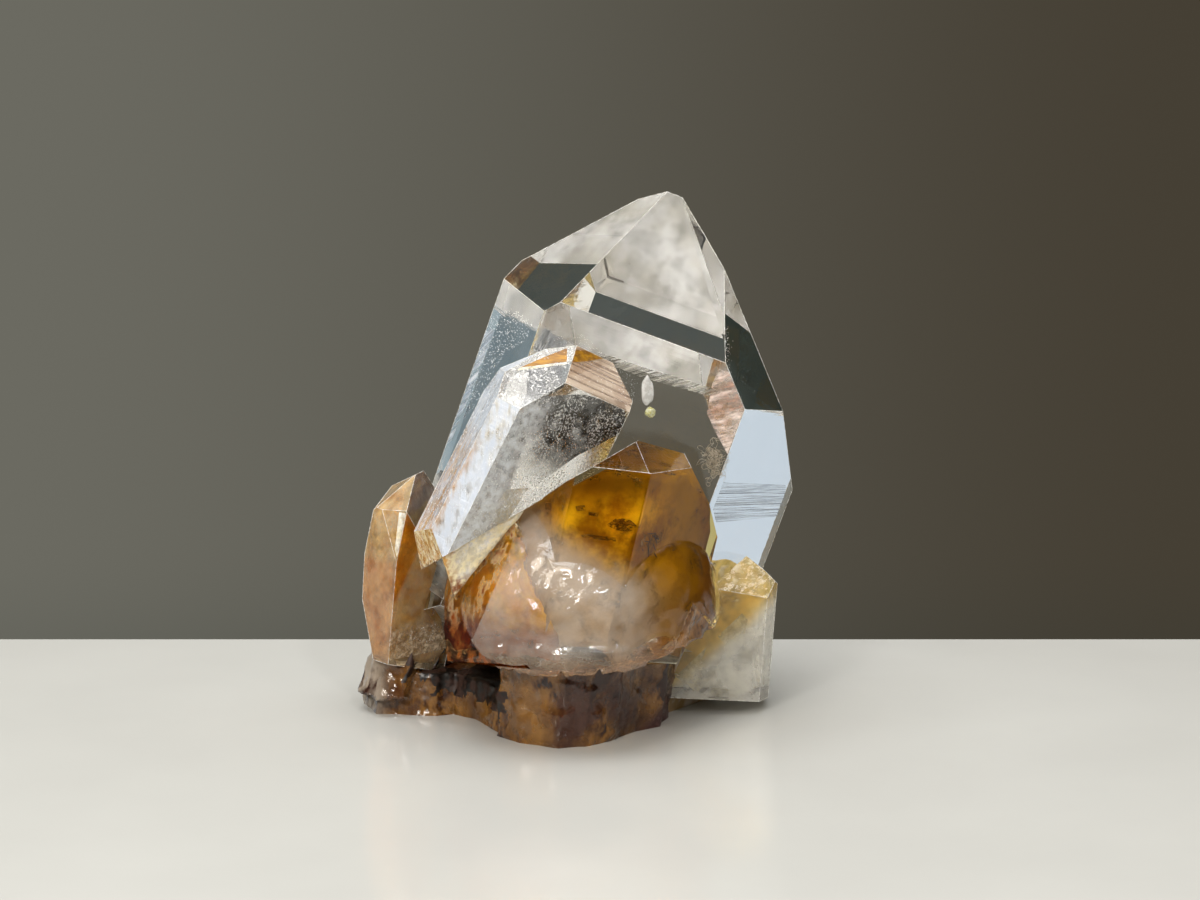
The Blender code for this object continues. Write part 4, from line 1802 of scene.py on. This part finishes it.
@dataclass(frozen=True)
class Studio:
    """A pale stone slab, soft lights and the camera.

    The camera's distance and aim and the slab's far edge are in the layout's millimetres;
    the slab's own sizes are in metres.
    """

    lens: float = 85.0
    sensor: float = 36.0
    near_m: float = 0.001
    distance: float = 230.0
    elevation: float = 10.0
    aim: Triple = (0.0, 0.0, 21.6)
    slab_edge: float = 25.6
    slab_m: Triple = (1.2, 0.6, 0.02)
    slab_round_m: float = 0.002
    slab_roughness: float = 0.14
    bounces: int = 24
    clear_bounces: int = 16
    glossy_bounces: int = 8

    def camera(self) -> None:
        """Put the camera at its viewing angle."""
        data = bpy.data.cameras.new("camera")
        data.lens = self.lens
        data.sensor_width = self.sensor
        data.clip_start = self.near_m
        item = link_object("camera", data)
        up = math.radians(self.elevation)
        x, y, z = self.aim
        item.location = placed((x, y - self.distance * math.cos(up), z + self.distance * math.sin(up)))
        item.rotation_euler = (math.radians(90.0 - self.elevation), 0.0, 0.0)
        bpy.context.scene.camera = item

    def slab(self) -> None:
        """Lay the floor: a pale slab whose far edge lies a little behind the cluster."""
        bm = bmesh.new()
        bmesh.ops.create_cube(bm, size=1.0)
        bmesh.ops.scale(bm, verts=bm.verts[:], vec=self.slab_m)
        _, deep, high = self.slab_m
        middle = placed((0.0, self.slab_edge, 0.0)).y - deep / 2.0
        bmesh.ops.translate(bm, verts=bm.verts[:], vec=(0.0, middle, -high / 2.0))
        bmesh.ops.bevel(bm, geom=bm.edges[:], offset=self.slab_round_m, segments=3, affect="EDGES")
        # Honed pale stone: a soft mirror of what stands on it, faintly clouded.
        material, tree, shader, where = start_material("honed_pale_stone")
        shader.inputs["Roughness"].default_value = self.slab_roughness
        cloud = add_node(tree, "ShaderNodeTexNoise", {"Scale": 40.0, "Detail": 5.0}, {"Vector": where})
        colour = paint(tree, "#a8a8a4", [(cloud.outputs["Fac"], "#b6b6b2")])
        tree.links.new(colour, shader.inputs["Base Color"])
        new_object("floor_slab", bm, [material])

    def world(self) -> None:
        """Surround the slab with a dim room and soft cards, each a round patch of light."""
        world = bpy.data.worlds.new("dim_room")
        bpy.context.scene.world = world
        world.use_nodes = True
        tree = world.node_tree
        place = add_node(tree, "ShaderNodeTexCoord").outputs["Generated"]
        axes = add_node(tree, "ShaderNodeSeparateXYZ", None, {0: place})
        right = add_node(tree, "ShaderNodeMapRange", {"From Min": -0.25, "From Max": 0.22},
                         {"Value": axes.outputs["X"]}, interpolation_type="SMOOTHSTEP")
        below = add_node(tree, "ShaderNodeMapRange", {"From Min": -0.2, "From Max": -0.36},
                         {"Value": axes.outputs["Z"]}, interpolation_type="SMOOTHSTEP")
        coats = [(right.outputs["Result"], "#453f34"), (below.outputs["Result"], "#20302f")]
        light = paint(tree, "#6c6b62", coats)
        for card in CARDS:
            facing = add_node(tree, "ShaderNodeVectorMath", {1: card.direction()}, {0: place},
                              operation="DOT_PRODUCT")
            patch = add_node(tree, "ShaderNodeMapRange", card.rim(), {"Value": facing.outputs["Value"]},
                             interpolation_type="SMOOTHSTEP")
            shine = [c * card.strength for c in linear(card.colour)[:3]]
            glow = add_node(tree, "ShaderNodeVectorMath", {0: shine}, {3: patch.outputs["Result"]},
                            operation="SCALE")
            light = add_node(tree, "ShaderNodeVectorMath", None, {0: light, 1: glow.outputs["Vector"]},
                             operation="ADD").outputs["Vector"]
        tree.links.new(light, tree.nodes["Background"].inputs["Color"])

    def build(self) -> None:
        """Set up the whole studio."""
        self.camera()
        self.slab()
        self.world()
        for lamp in LAMPS:
            lamp.hang()
        scene = bpy.context.scene
        scene.view_settings.view_transform = "Standard"
        scene.cycles.max_bounces = self.bounces
        scene.cycles.transmission_bounces = self.bounces
        scene.cycles.transparent_max_bounces = self.clear_bounces
        scene.cycles.glossy_bounces = self.glossy_bounces


# ---------------------------------------------------------------- main


def main() -> None:
    """Build the cluster's pieces in order, then the studio."""
    logging.basicConfig(level=logging.INFO)
    noise.seed_set(WANDER_SEED)
    skin, edge_highlights = ClusterSkin().build()
    finish_piece(skin, replaces=True)
    pieces = [edge_highlights]
    for part in (RootVeils(), StainCores(), InnerMarks(), Sparkle(), Fibres(), Grains()):
        pieces += part.build()
    for piece in pieces:
        finish_piece(piece)
    Studio().build()


if __name__ == "__main__":
    main()
